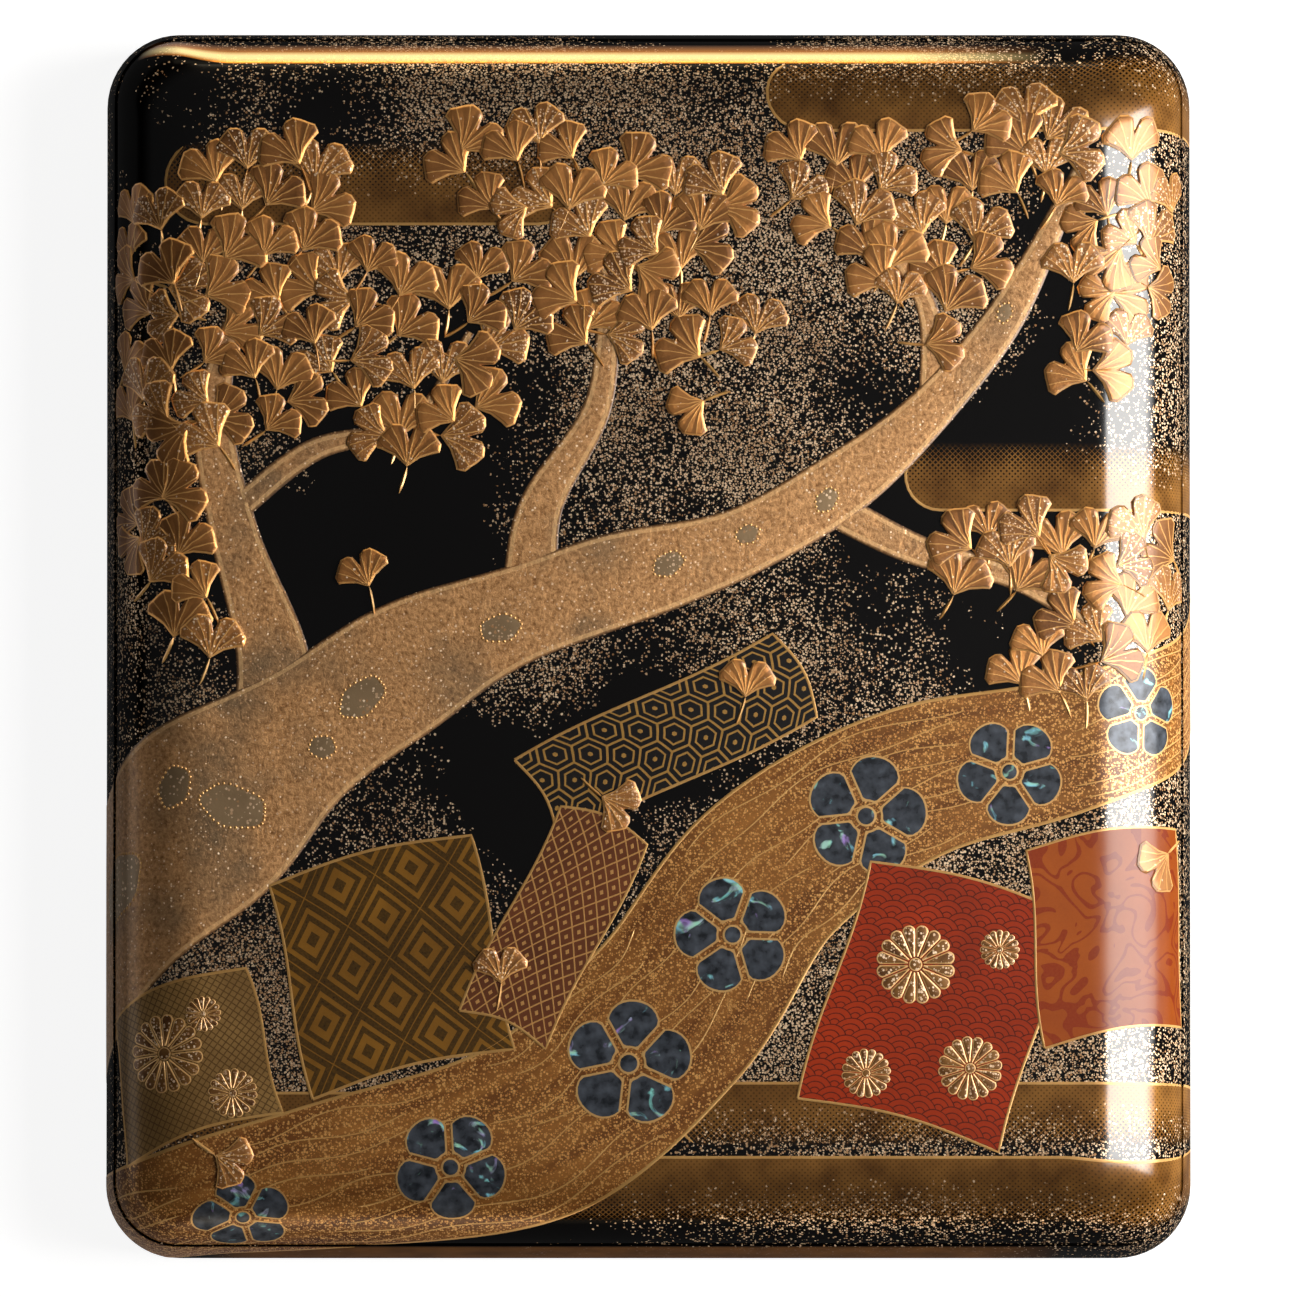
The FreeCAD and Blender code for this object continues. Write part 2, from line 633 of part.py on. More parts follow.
def awl(x, z):
    """The paper awl along Y: handle, collar, spike and sheath."""
    sheath_length = AWL_SPIKE_LENGTH + AWL_SHEATH_CLEARANCE + AWL_SHEATH_END
    total = AWL_HANDLE_LENGTH + AWL_COLLAR_LENGTH + sheath_length
    tail_y = -total / 2
    collar_y = tail_y + AWL_HANDLE_LENGTH
    mouth_y = collar_y + AWL_COLLAR_LENGTH
    end_y = mouth_y + sheath_length
    tang_y = mouth_y - AWL_TANG_LENGTH
    tip_y = mouth_y + AWL_SPIKE_LENGTH
    tang = rod(AWL_SPIKE_R, tang_y, mouth_y, x, z)
    spike = turned(
        [
            (0, tang_y),
            (AWL_SPIKE_R, tang_y),
            (AWL_SPIKE_R, mouth_y),
            (AWL_TIP_R, tip_y),
            (0, tip_y),
        ],
        x,
        z,
    )
    handle = rod(AWL_R, tail_y, collar_y, x, z)
    handle = handle.makeFillet(AWL_R / 3, end_edges(handle, tail_y))
    collar = rod(AWL_R + AWL_COLLAR_PROUD, collar_y, mouth_y, x, z)
    sheath = rod(AWL_R, mouth_y, end_y, x, z)
    sheath = sheath.makeFillet(AWL_R / 3, end_edges(sheath, end_y))
    bore_r = AWL_SPIKE_R + AWL_SHEATH_CLEARANCE
    bore = rod(bore_r, mouth_y - OVERRUN, tip_y + AWL_SHEATH_CLEARANCE, x, z)
    return {
        "awl_handle": handle.cut(tang),
        "awl_collar": collar.cut(tang),
        "awl_spike": spike,
        "awl_sheath": sheath.cut(bore),
    }


def ink(x, z):
    """The ink stick in its holder, along Y, with a metal band at the holder's mouth."""
    total = HOLDER_LENGTH + INK_LENGTH - INK_DEPTH_IN_HOLDER
    tail_y = -total / 2
    mouth_y = tail_y + HOLDER_LENGTH
    band_y = mouth_y - HOLDER_BAND_LENGTH
    ink_y = mouth_y - INK_DEPTH_IN_HOLDER
    stick = long_bar(INK_WIDTH, INK_THICKNESS, INK_CORNER_R, ink_y, ink_y + INK_LENGTH, x, z)
    pocket = long_bar(
        INK_WIDTH + 2 * INK_CLEARANCE,
        INK_THICKNESS + 2 * INK_CLEARANCE,
        INK_CORNER_R,
        ink_y,
        mouth_y + OVERRUN,
        x,
        z,
    )
    holder = long_bar(HOLDER_WIDTH, HOLDER_THICKNESS, HOLDER_CORNER_R, tail_y, band_y, x, z)
    band = long_bar(
        HOLDER_WIDTH + 2 * HOLDER_BAND_PROUD,
        HOLDER_THICKNESS + 2 * HOLDER_BAND_PROUD,
        HOLDER_CORNER_R + HOLDER_BAND_PROUD,
        band_y,
        mouth_y,
        x,
        z,
    )
    return {
        "ink_stick": stick,
        "ink_holder": holder.cut(pocket),
        "ink_holder_band": band.cut(pocket),
    }


def brush_tray_set():
    """The left tray with its rests and the brushes on them."""
    parts = {"brush_tray": tray(-TRAY_X, 1)}
    places = [brush_x(i) for i in range(BRUSH_COUNT)]
    for i, x in enumerate(places):
        for name, shape in brush(x, REST_AXIS_Z).items():
            parts[f"brush_{i + 1}_{name}"] = shape
    parts["brush_rest_far"] = rest_bar(-TRAY_X, 1, [round_notch(CAP_R, x) for x in places])
    parts["brush_rest_near"] = rest_bar(
        -TRAY_X, -1, [round_notch(BRUSH_HANDLE_R, x) for x in places]
    )
    return parts


def tool_tray_set():
    """The right tray with its rests, the knife, the awl and the ink stick."""
    parts = {"tool_tray": tray(TRAY_X, -1)}
    knife_x, awl_x, ink_x = tool_places()
    parts.update(knife(knife_x, REST_AXIS_Z))
    parts.update(awl(awl_x, REST_AXIS_Z))
    parts.update(ink(ink_x, REST_AXIS_Z))
    shared = [flat_notch(KNIFE_WIDTH, KNIFE_THICKNESS, knife_x), round_notch(AWL_R, awl_x)]
    far = shared + [flat_notch(INK_WIDTH, INK_THICKNESS, ink_x)]
    near = shared + [flat_notch(HOLDER_WIDTH, HOLDER_THICKNESS, ink_x)]
    parts["tool_rest_far"] = rest_bar(TRAY_X, 1, far)
    parts["tool_rest_near"] = rest_bar(TRAY_X, -1, near)
    return parts


def build():
    """Every sub-part of the closed box, by name."""
    parts = {
        "base_box": base_box(),
        "lid": lid(),
        "inkstone_board": board(),
        "inkstone": inkstone(),
    }
    parts.update(dropper())
    parts.update(brush_tray_set())
    parts.update(tool_tray_set())
    return parts


os.makedirs("parts", exist_ok=True)
for node, shape in build().items():
    shape.exportStep(os.path.join("parts", node + ".step"))
    print(f"{node}: volume {shape.Volume:.0f} mm3, solids {len(shape.Solids)}, valid {shape.isValid()}")
print(f"closed box {BOX_WIDTH:.1f} x {BOX_DEPTH:.1f} x {ROLL_TOP_Z + CROWN:.1f} mm")
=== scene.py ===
import math

import bmesh
import bpy
import numpy as np
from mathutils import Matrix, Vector


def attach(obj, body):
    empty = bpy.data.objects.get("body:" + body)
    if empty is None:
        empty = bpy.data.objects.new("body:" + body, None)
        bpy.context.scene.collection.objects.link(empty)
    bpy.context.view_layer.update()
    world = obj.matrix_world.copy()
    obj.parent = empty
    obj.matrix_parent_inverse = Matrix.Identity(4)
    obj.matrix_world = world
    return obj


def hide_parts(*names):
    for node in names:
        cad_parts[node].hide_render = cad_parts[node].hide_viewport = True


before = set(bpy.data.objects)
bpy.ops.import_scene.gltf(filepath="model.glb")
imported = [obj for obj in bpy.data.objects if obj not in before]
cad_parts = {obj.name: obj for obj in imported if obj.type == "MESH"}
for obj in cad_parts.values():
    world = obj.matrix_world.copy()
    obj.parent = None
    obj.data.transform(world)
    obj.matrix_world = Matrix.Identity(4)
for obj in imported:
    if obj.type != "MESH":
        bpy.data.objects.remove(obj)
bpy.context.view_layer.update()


# The studio. The box stands on a wide white table, which keeps its shadow. One large soft lamp stands
# to the right, and two weak warm ones light the far and the near shoulder. The camera looks down,
# leaning a little, so that it sees the near side's skirt.
MM = 0.001
TABLE_REACH = 15.0
TABLE_DROP = 0.2 * MM
TABLE_GLOW = 0.9
CAMERA_DISTANCE = 6.0
CAMERA_LEAN_DEG = 3.0
CAMERA_AIM = Vector((0.0, -0.6 * MM, 16.0 * MM))
PICTURE_WIDTH = 263.5 * MM
SENSOR_WIDTH = 36.0
BOX_MIDDLE = Vector((0.0, 0.0, 30.0 * MM))


class Value:
    """What a node gives out. Sums on it are written as usual, and each becomes a node."""

    def __init__(self, node, output=0):
        self.socket = node.outputs[output]
        self.tree = node.id_data

    def __add__(self, other):
        return maths("ADD", self, other)

    def __sub__(self, other):
        return maths("SUBTRACT", self, other)

    def __rsub__(self, other):
        return maths("SUBTRACT", other, self)

    def __mul__(self, other):
        return maths("MULTIPLY", self, other)

    def __truediv__(self, other):
        return maths("DIVIDE", self, other)

    def __rtruediv__(self, other):
        return maths("DIVIDE", other, self)

    def __lt__(self, other):
        return maths("LESS_THAN", self, other)

    def __gt__(self, other):
        return maths("GREATER_THAN", self, other)

    def __abs__(self):
        return maths("ABSOLUTE", self)

    def clamped(self):
        """Keeps this sum between zero and one."""
        self.socket.node.use_clamp = True
        return self

    __radd__ = __add__
    __rmul__ = __mul__


def plug(socket, value):
    """Links what a node gives out to an input, or sets the input to a plain value."""
    if isinstance(value, Value):
        socket.id_data.links.new(value.socket, socket)
    else:
        socket.default_value = value


def add_node(tree, kind, inputs=None, **settings):
    node = tree.nodes.new(kind)
    for name, value in settings.items():
        setattr(node, name, value)
    for name, value in (inputs or {}).items():
        plug(node.inputs[name], value)
    return node


def maths(operation, *values):
    """One sum, of which at least one part changes over the surface."""
    tree = next(value.tree for value in values if isinstance(value, Value))
    return Value(add_node(tree, "ShaderNodeMath", dict(enumerate(values)), operation=operation))


def most(first, *others):
    """The largest of some values."""
    for other in others:
        first = maths("MAXIMUM", first, other)
    return first


def tint(red, green, blue):
    """A colour read from 0 to 255, as linear light."""
    shares = [value / 255 for value in (red, green, blue)]
    return tuple(s / 12.92 if s < 0.04045 else ((s + 0.055) / 1.055) ** 2.4 for s in shares) + (1.0,)


def new_material(name):
    """A material, and its pieces' own places."""
    material = bpy.data.materials.new(name)
    material.use_nodes = True
    return material, Value(add_node(material.node_tree, "ShaderNodeTexCoord"), "Object")


def feed(material, **inputs):
    """Sets or links inputs of the material's shader, named with low lines for spaces."""
    shader = material.node_tree.nodes["Principled BSDF"]
    for name, value in inputs.items():
        plug(shader.inputs[name.replace("_", " ")], value)
    return material


def set_down(name, data):
    """A new object in the scene."""
    thing = bpy.data.objects.new(name, data)
    bpy.context.scene.collection.objects.link(thing)
    return thing


def new_mesh(name, points, faces, materials=()):
    mesh = bpy.data.meshes.new(name)
    mesh.from_pydata(points, [], faces)
    for material in materials:
        mesh.materials.append(material)
    return mesh


def table_finish():
    """White board that also shows white where the lamps don't reach."""
    material, _ = new_material("white table")
    path = add_node(material.node_tree, "ShaderNodeLightPath")
    seen = most(*[Value(path, f"Is {kind} Ray") for kind in ("Camera", "Glossy", "Transmission")])
    feed(material, Base_Color=(0.38, 0.38, 0.38, 1.0), Roughness=1.0, Emission_Color=(1.0, 1.0, 1.0, 1.0))
    return feed(material, Emission_Strength=seen * TABLE_GLOW, Specular_IOR_Level=0.0)


corners = [(x * TABLE_REACH, y * TABLE_REACH, -TABLE_DROP) for x, y in ((-1, -1), (1, -1), (1, 1), (-1, 1))]
table = set_down("table", new_mesh("table", corners, [(0, 1, 2, 3)], [table_finish()]))


def soft_lamp(name, place, width, height, watts, colour):
    """A rectangular soft lamp turned to the box."""
    lamp = bpy.data.lights.new(name, "AREA")
    lamp.shape = "RECTANGLE"
    lamp.size = width
    lamp.size_y = height
    lamp.energy = watts
    lamp.color = colour
    holder = set_down(name, lamp)
    holder.location = place
    holder.rotation_euler = (BOX_MIDDLE - Vector(place)).to_track_quat("-Z", "Y").to_euler()


soft_lamp("right_lamp", (0.50, 0.02, 0.41), 0.50, 0.76, 9.0, (1.0, 0.98, 0.95))
soft_lamp("near_lamp", (0.25, -1.00, 0.09), 0.80, 0.12, 1.2, (1.0, 0.8, 0.55))
soft_lamp("far_lamp", (0.05, 1.00, 0.10), 0.90, 0.12, 2.0, (1.0, 0.86, 0.62))

world = bpy.data.worlds.new("dim studio")
world.use_nodes = True
world.node_tree.nodes["Background"].inputs["Color"].default_value = (0.03, 0.03, 0.03, 1.0)
bpy.context.scene.world = world

camera_data = bpy.data.cameras.new("camera")
camera_data.sensor_width = SENSOR_WIDTH
camera_data.lens = SENSOR_WIDTH * CAMERA_DISTANCE / PICTURE_WIDTH
camera_data.clip_end = 4 * TABLE_REACH
camera = set_down("camera", camera_data)
lean = math.radians(CAMERA_LEAN_DEG)
camera.location = CAMERA_AIM + CAMERA_DISTANCE * Vector((0.0, -math.sin(lean), math.cos(lean)))
camera.rotation_euler = (lean, 0.0, 0.0)
bpy.context.scene.camera = camera
bpy.context.scene.view_settings.view_transform = "Standard"


# The base. Thin boards are glued into a tray with a bowed plinth, and lacquered black all over. The
# lid rests on the plinth's ledge. The outside is dusted with gold, the inside thickly sprinkled.
HALF_WIDTH = 110.4
HALF_DEPTH = 124.65
CORNER_R = 15.2
LEDGE_HEIGHT = 11.0
PLINTH_INSET = 0.6
PLINTH_TAPER = 2.4
PLINTH_BOW_DEG = 65.0
PLINTH_EDGE_R = 0.6
WALL_INSET = 6.4
WALL_CORNER_R = 8.8
WALL_THICKNESS = 4.0
RIM_HEIGHT = 29.5
RIM_ROUND = 1.2
FLOOR_HEIGHT = 4.0
FLOOR_ROUND = 0.8
FLOOR_CORNER_R = 4.0
CORNER_STEPS = 24
SIDE_STEP = 5.0
CREASE_DEG = 38.0
GOLD = tint(232, 198, 158)
BLACK = tint(6, 5, 5)
GRAIN_LEAST = 0.55
GRAIN_SPREAD = 0.8
GRAIN_RAGGED = 0.5
GRAIN_CRISP = 9.0


def plan_ring(half_x, half_y, radius):
    """Points and facings round a rectangle with rounded corners, anticlockwise, in millimetres."""
    core = np.array([half_x - radius, half_y - radius])
    points = []
    facings = []
    quarter = np.linspace(0.0, math.pi / 2, CORNER_STEPS + 1)
    sides = (round(2 * HALF_DEPTH / SIDE_STEP), round(2 * HALF_WIDTH / SIDE_STEP))
    signs = ((1, -1), (1, 1), (-1, 1), (-1, -1))
    for index in range(4):
        turn = (index - 1) * math.pi / 2
        arc = np.stack([np.cos(quarter + turn), np.sin(quarter + turn)], axis=1)
        corner = core * signs[index]
        ahead = core * signs[(index + 1) % 4]
        shares = np.linspace(0.0, 1.0, sides[index % 2] + 1)[1:-1, None]
        points += [corner + radius * arc, corner + radius * arc[-1] + (ahead - corner) * shares]
        facings += [arc, np.repeat(arc[-1:], len(shares), axis=0)]
    return np.concatenate(points), np.concatenate(facings)


def ring_faces(ring_count, ring_size):
    """Quads between rings that follow each other."""
    index = np.arange(ring_count * ring_size).reshape(ring_count, ring_size)
    ahead = np.roll(index, -1, axis=1)
    return np.stack([index[:-1], ahead[:-1], ahead[1:], index[1:]], axis=-1).reshape(-1, 4).tolist()


def closed(name, mesh, crease, cleared=False):
    """The piece of a closed mesh, with its faces outwards and its creases sharp. Faces of no size and
    loose points are cleared away first where asked."""
    shell = bmesh.new()
    shell.from_mesh(mesh)
    if cleared:
        bmesh.ops.dissolve_degenerate(shell, dist=1e-6, edges=shell.edges)
        unused = [point for point in shell.verts if not point.link_faces]
        bmesh.ops.delete(shell, geom=unused, context="VERTS")
    bmesh.ops.recalc_face_normals(shell, faces=shell.faces)
    shell.to_mesh(mesh)
    shell.free()
    mesh.shade_smooth()
    mesh.set_sharp_from_angle(angle=math.radians(crease))
    return set_down(name, mesh)


def lined_shell(name, points, faces, slots, finishes):
    """A closed shell with one finish outside and another inside."""
    mesh = new_mesh(name, points, faces, finishes)
    mesh.polygons.foreach_set("material_index", slots)
    return closed(name, mesh, CREASE_DEG)


def round_over(start, middle, end, radius, steps=4):
    """Points of a small arc at the corner between two straight lines of a profile."""
    a = np.array(start) - middle
    b = np.array(end) - middle
    first = middle + a / np.linalg.norm(a) * radius
    last = middle + b / np.linalg.norm(b) * radius
    shares = np.linspace(0.0, 1.0, steps + 1)[:, None]
    return (1 - shares) ** 2 * first + 2 * shares * (1 - shares) * np.array(middle) + shares**2 * last


def base_profile():
    """The base's section from the middle of the underside to its floor, as (inset, height)."""
    bow = math.radians(PLINTH_BOW_DEG)
    turns = np.linspace(bow, 0.0, 9)
    insets = PLINTH_INSET + PLINTH_TAPER * (1 - np.cos(turns)) / (1 - math.cos(bow))
    heights = LEDGE_HEIGHT * (1 - np.sin(turns) / math.sin(bow))
    side = np.stack([insets, heights], axis=1)
    foot = (PLINTH_INSET + PLINTH_TAPER, 0.0)
    inner = WALL_INSET + WALL_THICKNESS
    ledge = (PLINTH_INSET, LEDGE_HEIGHT)
    wall = (WALL_INSET, LEDGE_HEIGHT)
    rim_out = (WALL_INSET, RIM_HEIGHT)
    rim_in = (inner, RIM_HEIGHT)
    floor = (inner, FLOOR_HEIGHT)
    under = (WALL_INSET + FLOOR_HEIGHT, 0.0)
    runs = [
        [under],
        round_over(under, foot, side[1], PLINTH_EDGE_R),
        side[1:-1],
        round_over(side[-2], ledge, wall, PLINTH_EDGE_R / 2),
        [wall],
        round_over(wall, rim_out, rim_in, RIM_ROUND),
        round_over(rim_out, rim_in, floor, RIM_ROUND),
        round_over(rim_in, floor, (HALF_WIDTH, FLOOR_HEIGHT), FLOOR_ROUND),
    ]
    return np.concatenate([np.array(run, float) for run in runs])


def mixed(share, first, second):
    """A colour between two others."""
    return Value(add_node(share.tree, "ShaderNodeMix", {0: share, 6: first, 7: second}, data_type="RGBA"), 2)


def ramp(value, start, end, low=0.0, high=1.0):
    """A share that goes from the low to the high one as a value goes from start to end."""
    inputs = {"Value": value, "From Min": start, "From Max": end, "To Min": low, "To Max": high}
    return Value(add_node(value.tree, "ShaderNodeMapRange", inputs))


def noise(place, size, detail=2.0, **more):
    inputs = {"Vector": place, "Scale": 1 / size, "Detail": detail, **more}
    return Value(add_node(place.tree, "ShaderNodeTexNoise", inputs), "Fac")


def cloud(place, size, low, high, full=1.0):
    """A soft patchy density, from none to full."""
    return ramp(noise(place, size, 3.0), low, high, high=full)


def new_tree(name, kind, inputs, outputs):
    """A node tree with named inputs and outputs, what its inputs give, and where its outputs go."""
    tree = bpy.data.node_groups.new(name, kind)
    for in_out, sockets in (("INPUT", inputs), ("OUTPUT", outputs)):
        for socket, socket_kind in sockets.items():
            tree.interface.new_socket(socket, in_out=in_out, socket_type="NodeSocket" + socket_kind)
    given = tree.nodes.new("NodeGroupInput")
    return tree, [Value(given, name) for name in inputs], tree.nodes.new("NodeGroupOutput").inputs


def sprinkle_group():
    """Metal grains shaken over wet lacquer: where they lie, and how each one glints."""
    inputs = {"Place": "Vector", "Pitch": "Float", "Size": "Float", "Density": "Float"}
    outputs = {"Grains": "Float", "Glint": "Float"}
    group, given, result = new_tree("sprinkled grains", "ShaderNodeTree", inputs, outputs)
    place, pitch, size, density = given
    scaled = add_node(group, "ShaderNodeVectorMath", {0: place, "Scale": 1.0 / pitch}, operation="SCALE")
    place = Value(scaled)
    cells = add_node(group, "ShaderNodeTexVoronoi", {"Vector": place, "Scale": 1.0})
    chances = add_node(group, "ShaderNodeSeparateColor", {"Color": Value(cells, "Color")})
    kept = Value(chances, "Red") < density
    reach = size * (Value(chances, "Green") * GRAIN_SPREAD + GRAIN_LEAST)
    away = Value(cells, "Distance") + (noise(place, 1 / 2.6, 1.0) - 0.5) * GRAIN_RAGGED
    plug(result["Grains"], kept * ((reach - away) * GRAIN_CRISP).clamped())
    plug(result["Glint"], Value(chances, "Blue"))
    return group


SPRINKLES = sprinkle_group()


def dusted(place, ground, gold, pitch, size, density):
    """A ground colour with grains on it, the dim ones redder and the bright ones paler, and their mask."""
    inputs = {"Place": place, "Pitch": pitch, "Size": size, "Density": density}
    sprinkled = add_node(place.tree, "ShaderNodeGroup", inputs, node_tree=SPRINKLES)
    dim = tuple(c * share for c, share in zip(gold, (0.5, 0.36, 0.24))) + (1.0,)
    bright = tuple(min(c * share, 1.0) for c, share in zip(gold, (1.25, 1.35, 1.5))) + (1.0,)
    grains = Value(sprinkled, "Grains")
    return mixed(grains, ground, mixed(Value(sprinkled, "Glint"), dim, bright)), grains


def thick_sprinkle():
    """Pear-ground lacquer: amber lacquer packed with gold grains, used on every inner face."""
    material, place = new_material("thickly sprinkled lacquer")
    patchy = cloud(place, 12.0 * MM, 0.3, 0.7, 0.5)
    ground = mixed(patchy, tint(52, 22, 10), tint(84, 42, 16))
    colour, grains = dusted(place, ground, tint(196, 138, 66), 0.62 * MM, 0.5, patchy + 0.45)
    feed(material, Base_Color=colour, Metallic=grains * 0.6, Roughness=grains * 0.14 + 0.16)
    return feed(material, Coat_Weight=0.3, Coat_Roughness=0.08)


def dusted_black():
    """Black lacquer with clouds of gold grains, used on the plinth."""
    material, place = new_material("dusted black lacquer")
    density = cloud(place, 38.0 * MM, 0.42, 0.68, 0.5)
    colour, grains = dusted(place, BLACK, GOLD, 0.54 * MM, 0.42, density)
    feed(material, Base_Color=colour, Metallic=grains * 0.2, Roughness=grains * 0.1 + 0.3)
    return feed(material, Specular_IOR_Level=0.0)


INNER_LACQUER = thick_sprinkle()


def make_base():
    """The base as one closed shell: underside, plinth, ledge, wall, rim, inner wall and floor."""
    profile = base_profile()
    rings = []
    for inset, height in profile:
        outside = height < LEDGE_HEIGHT + 0.01 and inset < WALL_INSET
        radius = (CORNER_R if outside else WALL_CORNER_R + WALL_INSET) - inset
        least = WALL_THICKNESS + WALL_INSET - inset + FLOOR_CORNER_R
        plan, _ = plan_ring(HALF_WIDTH - inset, HALF_DEPTH - inset, max(radius, least))
        rings.append(np.column_stack([plan, np.full(len(plan), height)]))
    size = len(rings[0])
    faces = ring_faces(len(rings), size)
    inside_from = int(np.argmax(profile[:, 1] >= LEDGE_HEIGHT)) * size
    slots = [int(i >= inside_from) for i in range(len(faces))] + [0, 1]
    faces.append(tuple(range(size)))
    faces.append(tuple(range((len(rings) - 1) * size, len(rings) * size)))
    finishes = [dusted_black(), INNER_LACQUER]
    return lined_shell("base_shell", np.concatenate(rings) * MM, faces, slots, finishes)


base_shell = make_base()
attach(base_shell, "base")
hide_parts("base_box")


# The lid. It is one lacquered shell: a low crown, a wide rolled shoulder, a fine groove below it, and
# a skirt that flares to its foot. Its ground is black, with mist of gold dust and drifts of grains.
SKIRT_FLARE = 1.8
SKIRT_HEIGHT = 19.0
SKIRT_BOW_DEG = 62.0
ARRIS_STEP = 0.4
ROLL_WIDTH = 18.0
ROLL_HEIGHT = 14.0
ROLL_SWEEP_DEG = 80.0
ROLL_CORNER_R = 6.5
CROWN = 1.4
SKIN = 0.7
SKIN_AT_SKIRT = 0.3
GROOVE_DEPTH = 0.4
FOOT_ROUND = 0.5
CAVITY_INSET = 5.8
CAVITY_CORNER_R = 9.4
CEILING_HEIGHT = 39.4
CEILING_ROUND = 9.0
LEAST_CORNER_R = 0.4
ARRIS_HEIGHT = LEDGE_HEIGHT + SKIRT_HEIGHT
ROLL_INSET = SKIRT_FLARE + ARRIS_STEP
TOP_HALF = np.array([HALF_WIDTH, HALF_DEPTH]) - ROLL_INSET - ROLL_WIDTH
TOP_CORE = TOP_HALF - ROLL_CORNER_R


def facing(insets, heights):
    """How far a profile faces sideways and up."""
    slope_in = np.gradient(insets)
    slope_up = np.gradient(heights)
    length = np.hypot(slope_in, slope_up)
    return -slope_up / length, -slope_in / length


def lid_side():
    """The lid's section from the crown's edge to the foot: inset, height, corner, facing and skin."""
    sweep = math.radians(ROLL_SWEEP_DEG)
    turns = np.linspace(0.0, sweep, 41)
    share = 1 - np.sin(turns) / math.sin(sweep)
    insets = ROLL_INSET + ROLL_WIDTH * share
    heights = ARRIS_HEIGHT + ROLL_HEIGHT * (np.cos(turns) - math.cos(sweep)) / (1 - math.cos(sweep))
    first_r = CORNER_R - ROLL_INSET
    radii = first_r + (ROLL_CORNER_R - first_r) * share
    out, up = facing(insets, heights)
    skin = SKIN + (SKIN_AT_SKIRT - SKIN) * (1 - share) ** 2
    roll = np.column_stack([insets + out * skin, heights - up * skin, radii - out * skin, out, up, skin])
    bow = math.radians(SKIRT_BOW_DEG)
    turns = np.linspace(bow, 0.0, 15)
    insets = SKIRT_FLARE * (1 - np.cos(turns)) / (1 - math.cos(bow))
    heights = LEDGE_HEIGHT + SKIRT_HEIGHT * np.sin(turns) / math.sin(bow)
    out, up = facing(insets, heights)
    skin = np.full(len(turns), SKIN_AT_SKIRT)
    skirt = np.column_stack([insets + skin, heights, CORNER_R - insets - skin, out, up, skin])
    skirt[0, 1] -= GROOVE_DEPTH / 4
    groove_in = roll[-1].copy()
    groove_in[1] -= GROOVE_DEPTH
    groove_out = skirt[0].copy()
    groove_out[0] += GROOVE_DEPTH / 8
    groove_out[1] = groove_in[1]
    side = np.concatenate([roll, [groove_in, groove_out], skirt])
    steps = np.hypot(np.diff(side[:, 0]), np.diff(side[:, 1]))
    along = np.concatenate([[0.0], np.cumsum(steps)])
    return along, side, along[len(roll) - 1], along[len(roll) + 2]


ALONG, SIDE, ROLL_END, SKIRT_START = lid_side()
SKIRT_END = ALONG[-1] - FOOT_ROUND
POLISH_END = ROLL_END - 10.8
POLISH_FADE = 2.5
BURNISH_LOW = 35.5
BURNISH_HIGH = 41.0
ZONES = ((-1000.0, ROLL_END - 0.15), (SKIRT_START + 0.3, SKIRT_END))


def from_top_edge(art):
    """Splits places in the flattened decoration into core point, facing and distance from the top's edge."""
    over = np.abs(art) - TOP_CORE
    sign = np.where(art < 0, -1.0, 1.0)
    beyond = np.maximum(over, 0.0)
    reach = np.linalg.norm(beyond, axis=1)
    outside = reach > 1e-9
    nearer = over[:, 0] >= over[:, 1]
    axis = np.stack([nearer, ~nearer], axis=1).astype(float)
    facings = np.where(outside[:, None], beyond / np.maximum(reach, 1e-9)[:, None], axis) * sign
    reach = np.where(outside, reach, np.max(over, axis=1))
    core = art - facings * reach[:, None]
    return core, facings, reach - ROLL_CORNER_R


def side_ring(core, facings, inset, radius):
    """Places and facings on a ring of the lid's side. A corner's flat turn is spread evenly over the
    round corner and the straight runs beside it."""
    spare = ROLL_INSET + ROLL_WIDTH + ROLL_CORNER_R - inset - radius
    whole = 2 * spare + math.pi / 2 * radius
    gone = np.arctan2(np.abs(facings[:, 1]), np.abs(facings[:, 0])) / (math.pi / 2) * whole
    turn = np.clip((gone - spare) / radius, 0.0, math.pi / 2)
    sign = np.where(core < 0, -1.0, 1.0)
    out = np.stack([np.cos(turn), np.sin(turn)], axis=1) * sign
    shift = np.stack([np.minimum(whole - gone, spare), np.minimum(gone, spare)], axis=1) * sign
    return core + shift + out * np.reshape(radius, (-1, 1)), out


def on_lid(art, height):
    """Places on the lid, in metres, of flattened ones and heights above its ground in millimetres."""
    core, facings, reach = from_top_edge(art)
    share = np.clip(art / TOP_HALF, -1.0, 1.0)
    bell = (1 - share**2) ** 2
    rise = CROWN * bell[:, 0] * bell[:, 1]
    slope = CROWN * 4 * share * (1 - share**2) / TOP_HALF * bell[:, ::-1]
    up = 1 / np.sqrt(1 + np.sum(slope**2, axis=1))
    normal = np.column_stack([slope * up[:, None], up])
    top_z = ARRIS_HEIGHT + ROLL_HEIGHT + rise - SKIN
    top = np.column_stack([art, top_z]) + normal * height[:, None]
    inset, level, radius, out, face_up, skin = (np.interp(reach, ALONG, column) for column in SIDE.T)
    plan, facings = side_ring(core, facings, inset, radius)
    thin = (height * skin / SKIN)[:, None]
    side = np.column_stack([plan, level]) + np.column_stack([facings * out[:, None], face_up]) * thin
    return np.where((reach > 0)[:, None], side, top) * MM


def parts(vector):
    """The three numbers of a place."""
    node = add_node(vector.tree, "ShaderNodeSeparateXYZ", {0: vector})
    return [Value(node, axis) for axis in "XYZ"]


def distance(x, y):
    return maths("SQRT", x * x + y * y)


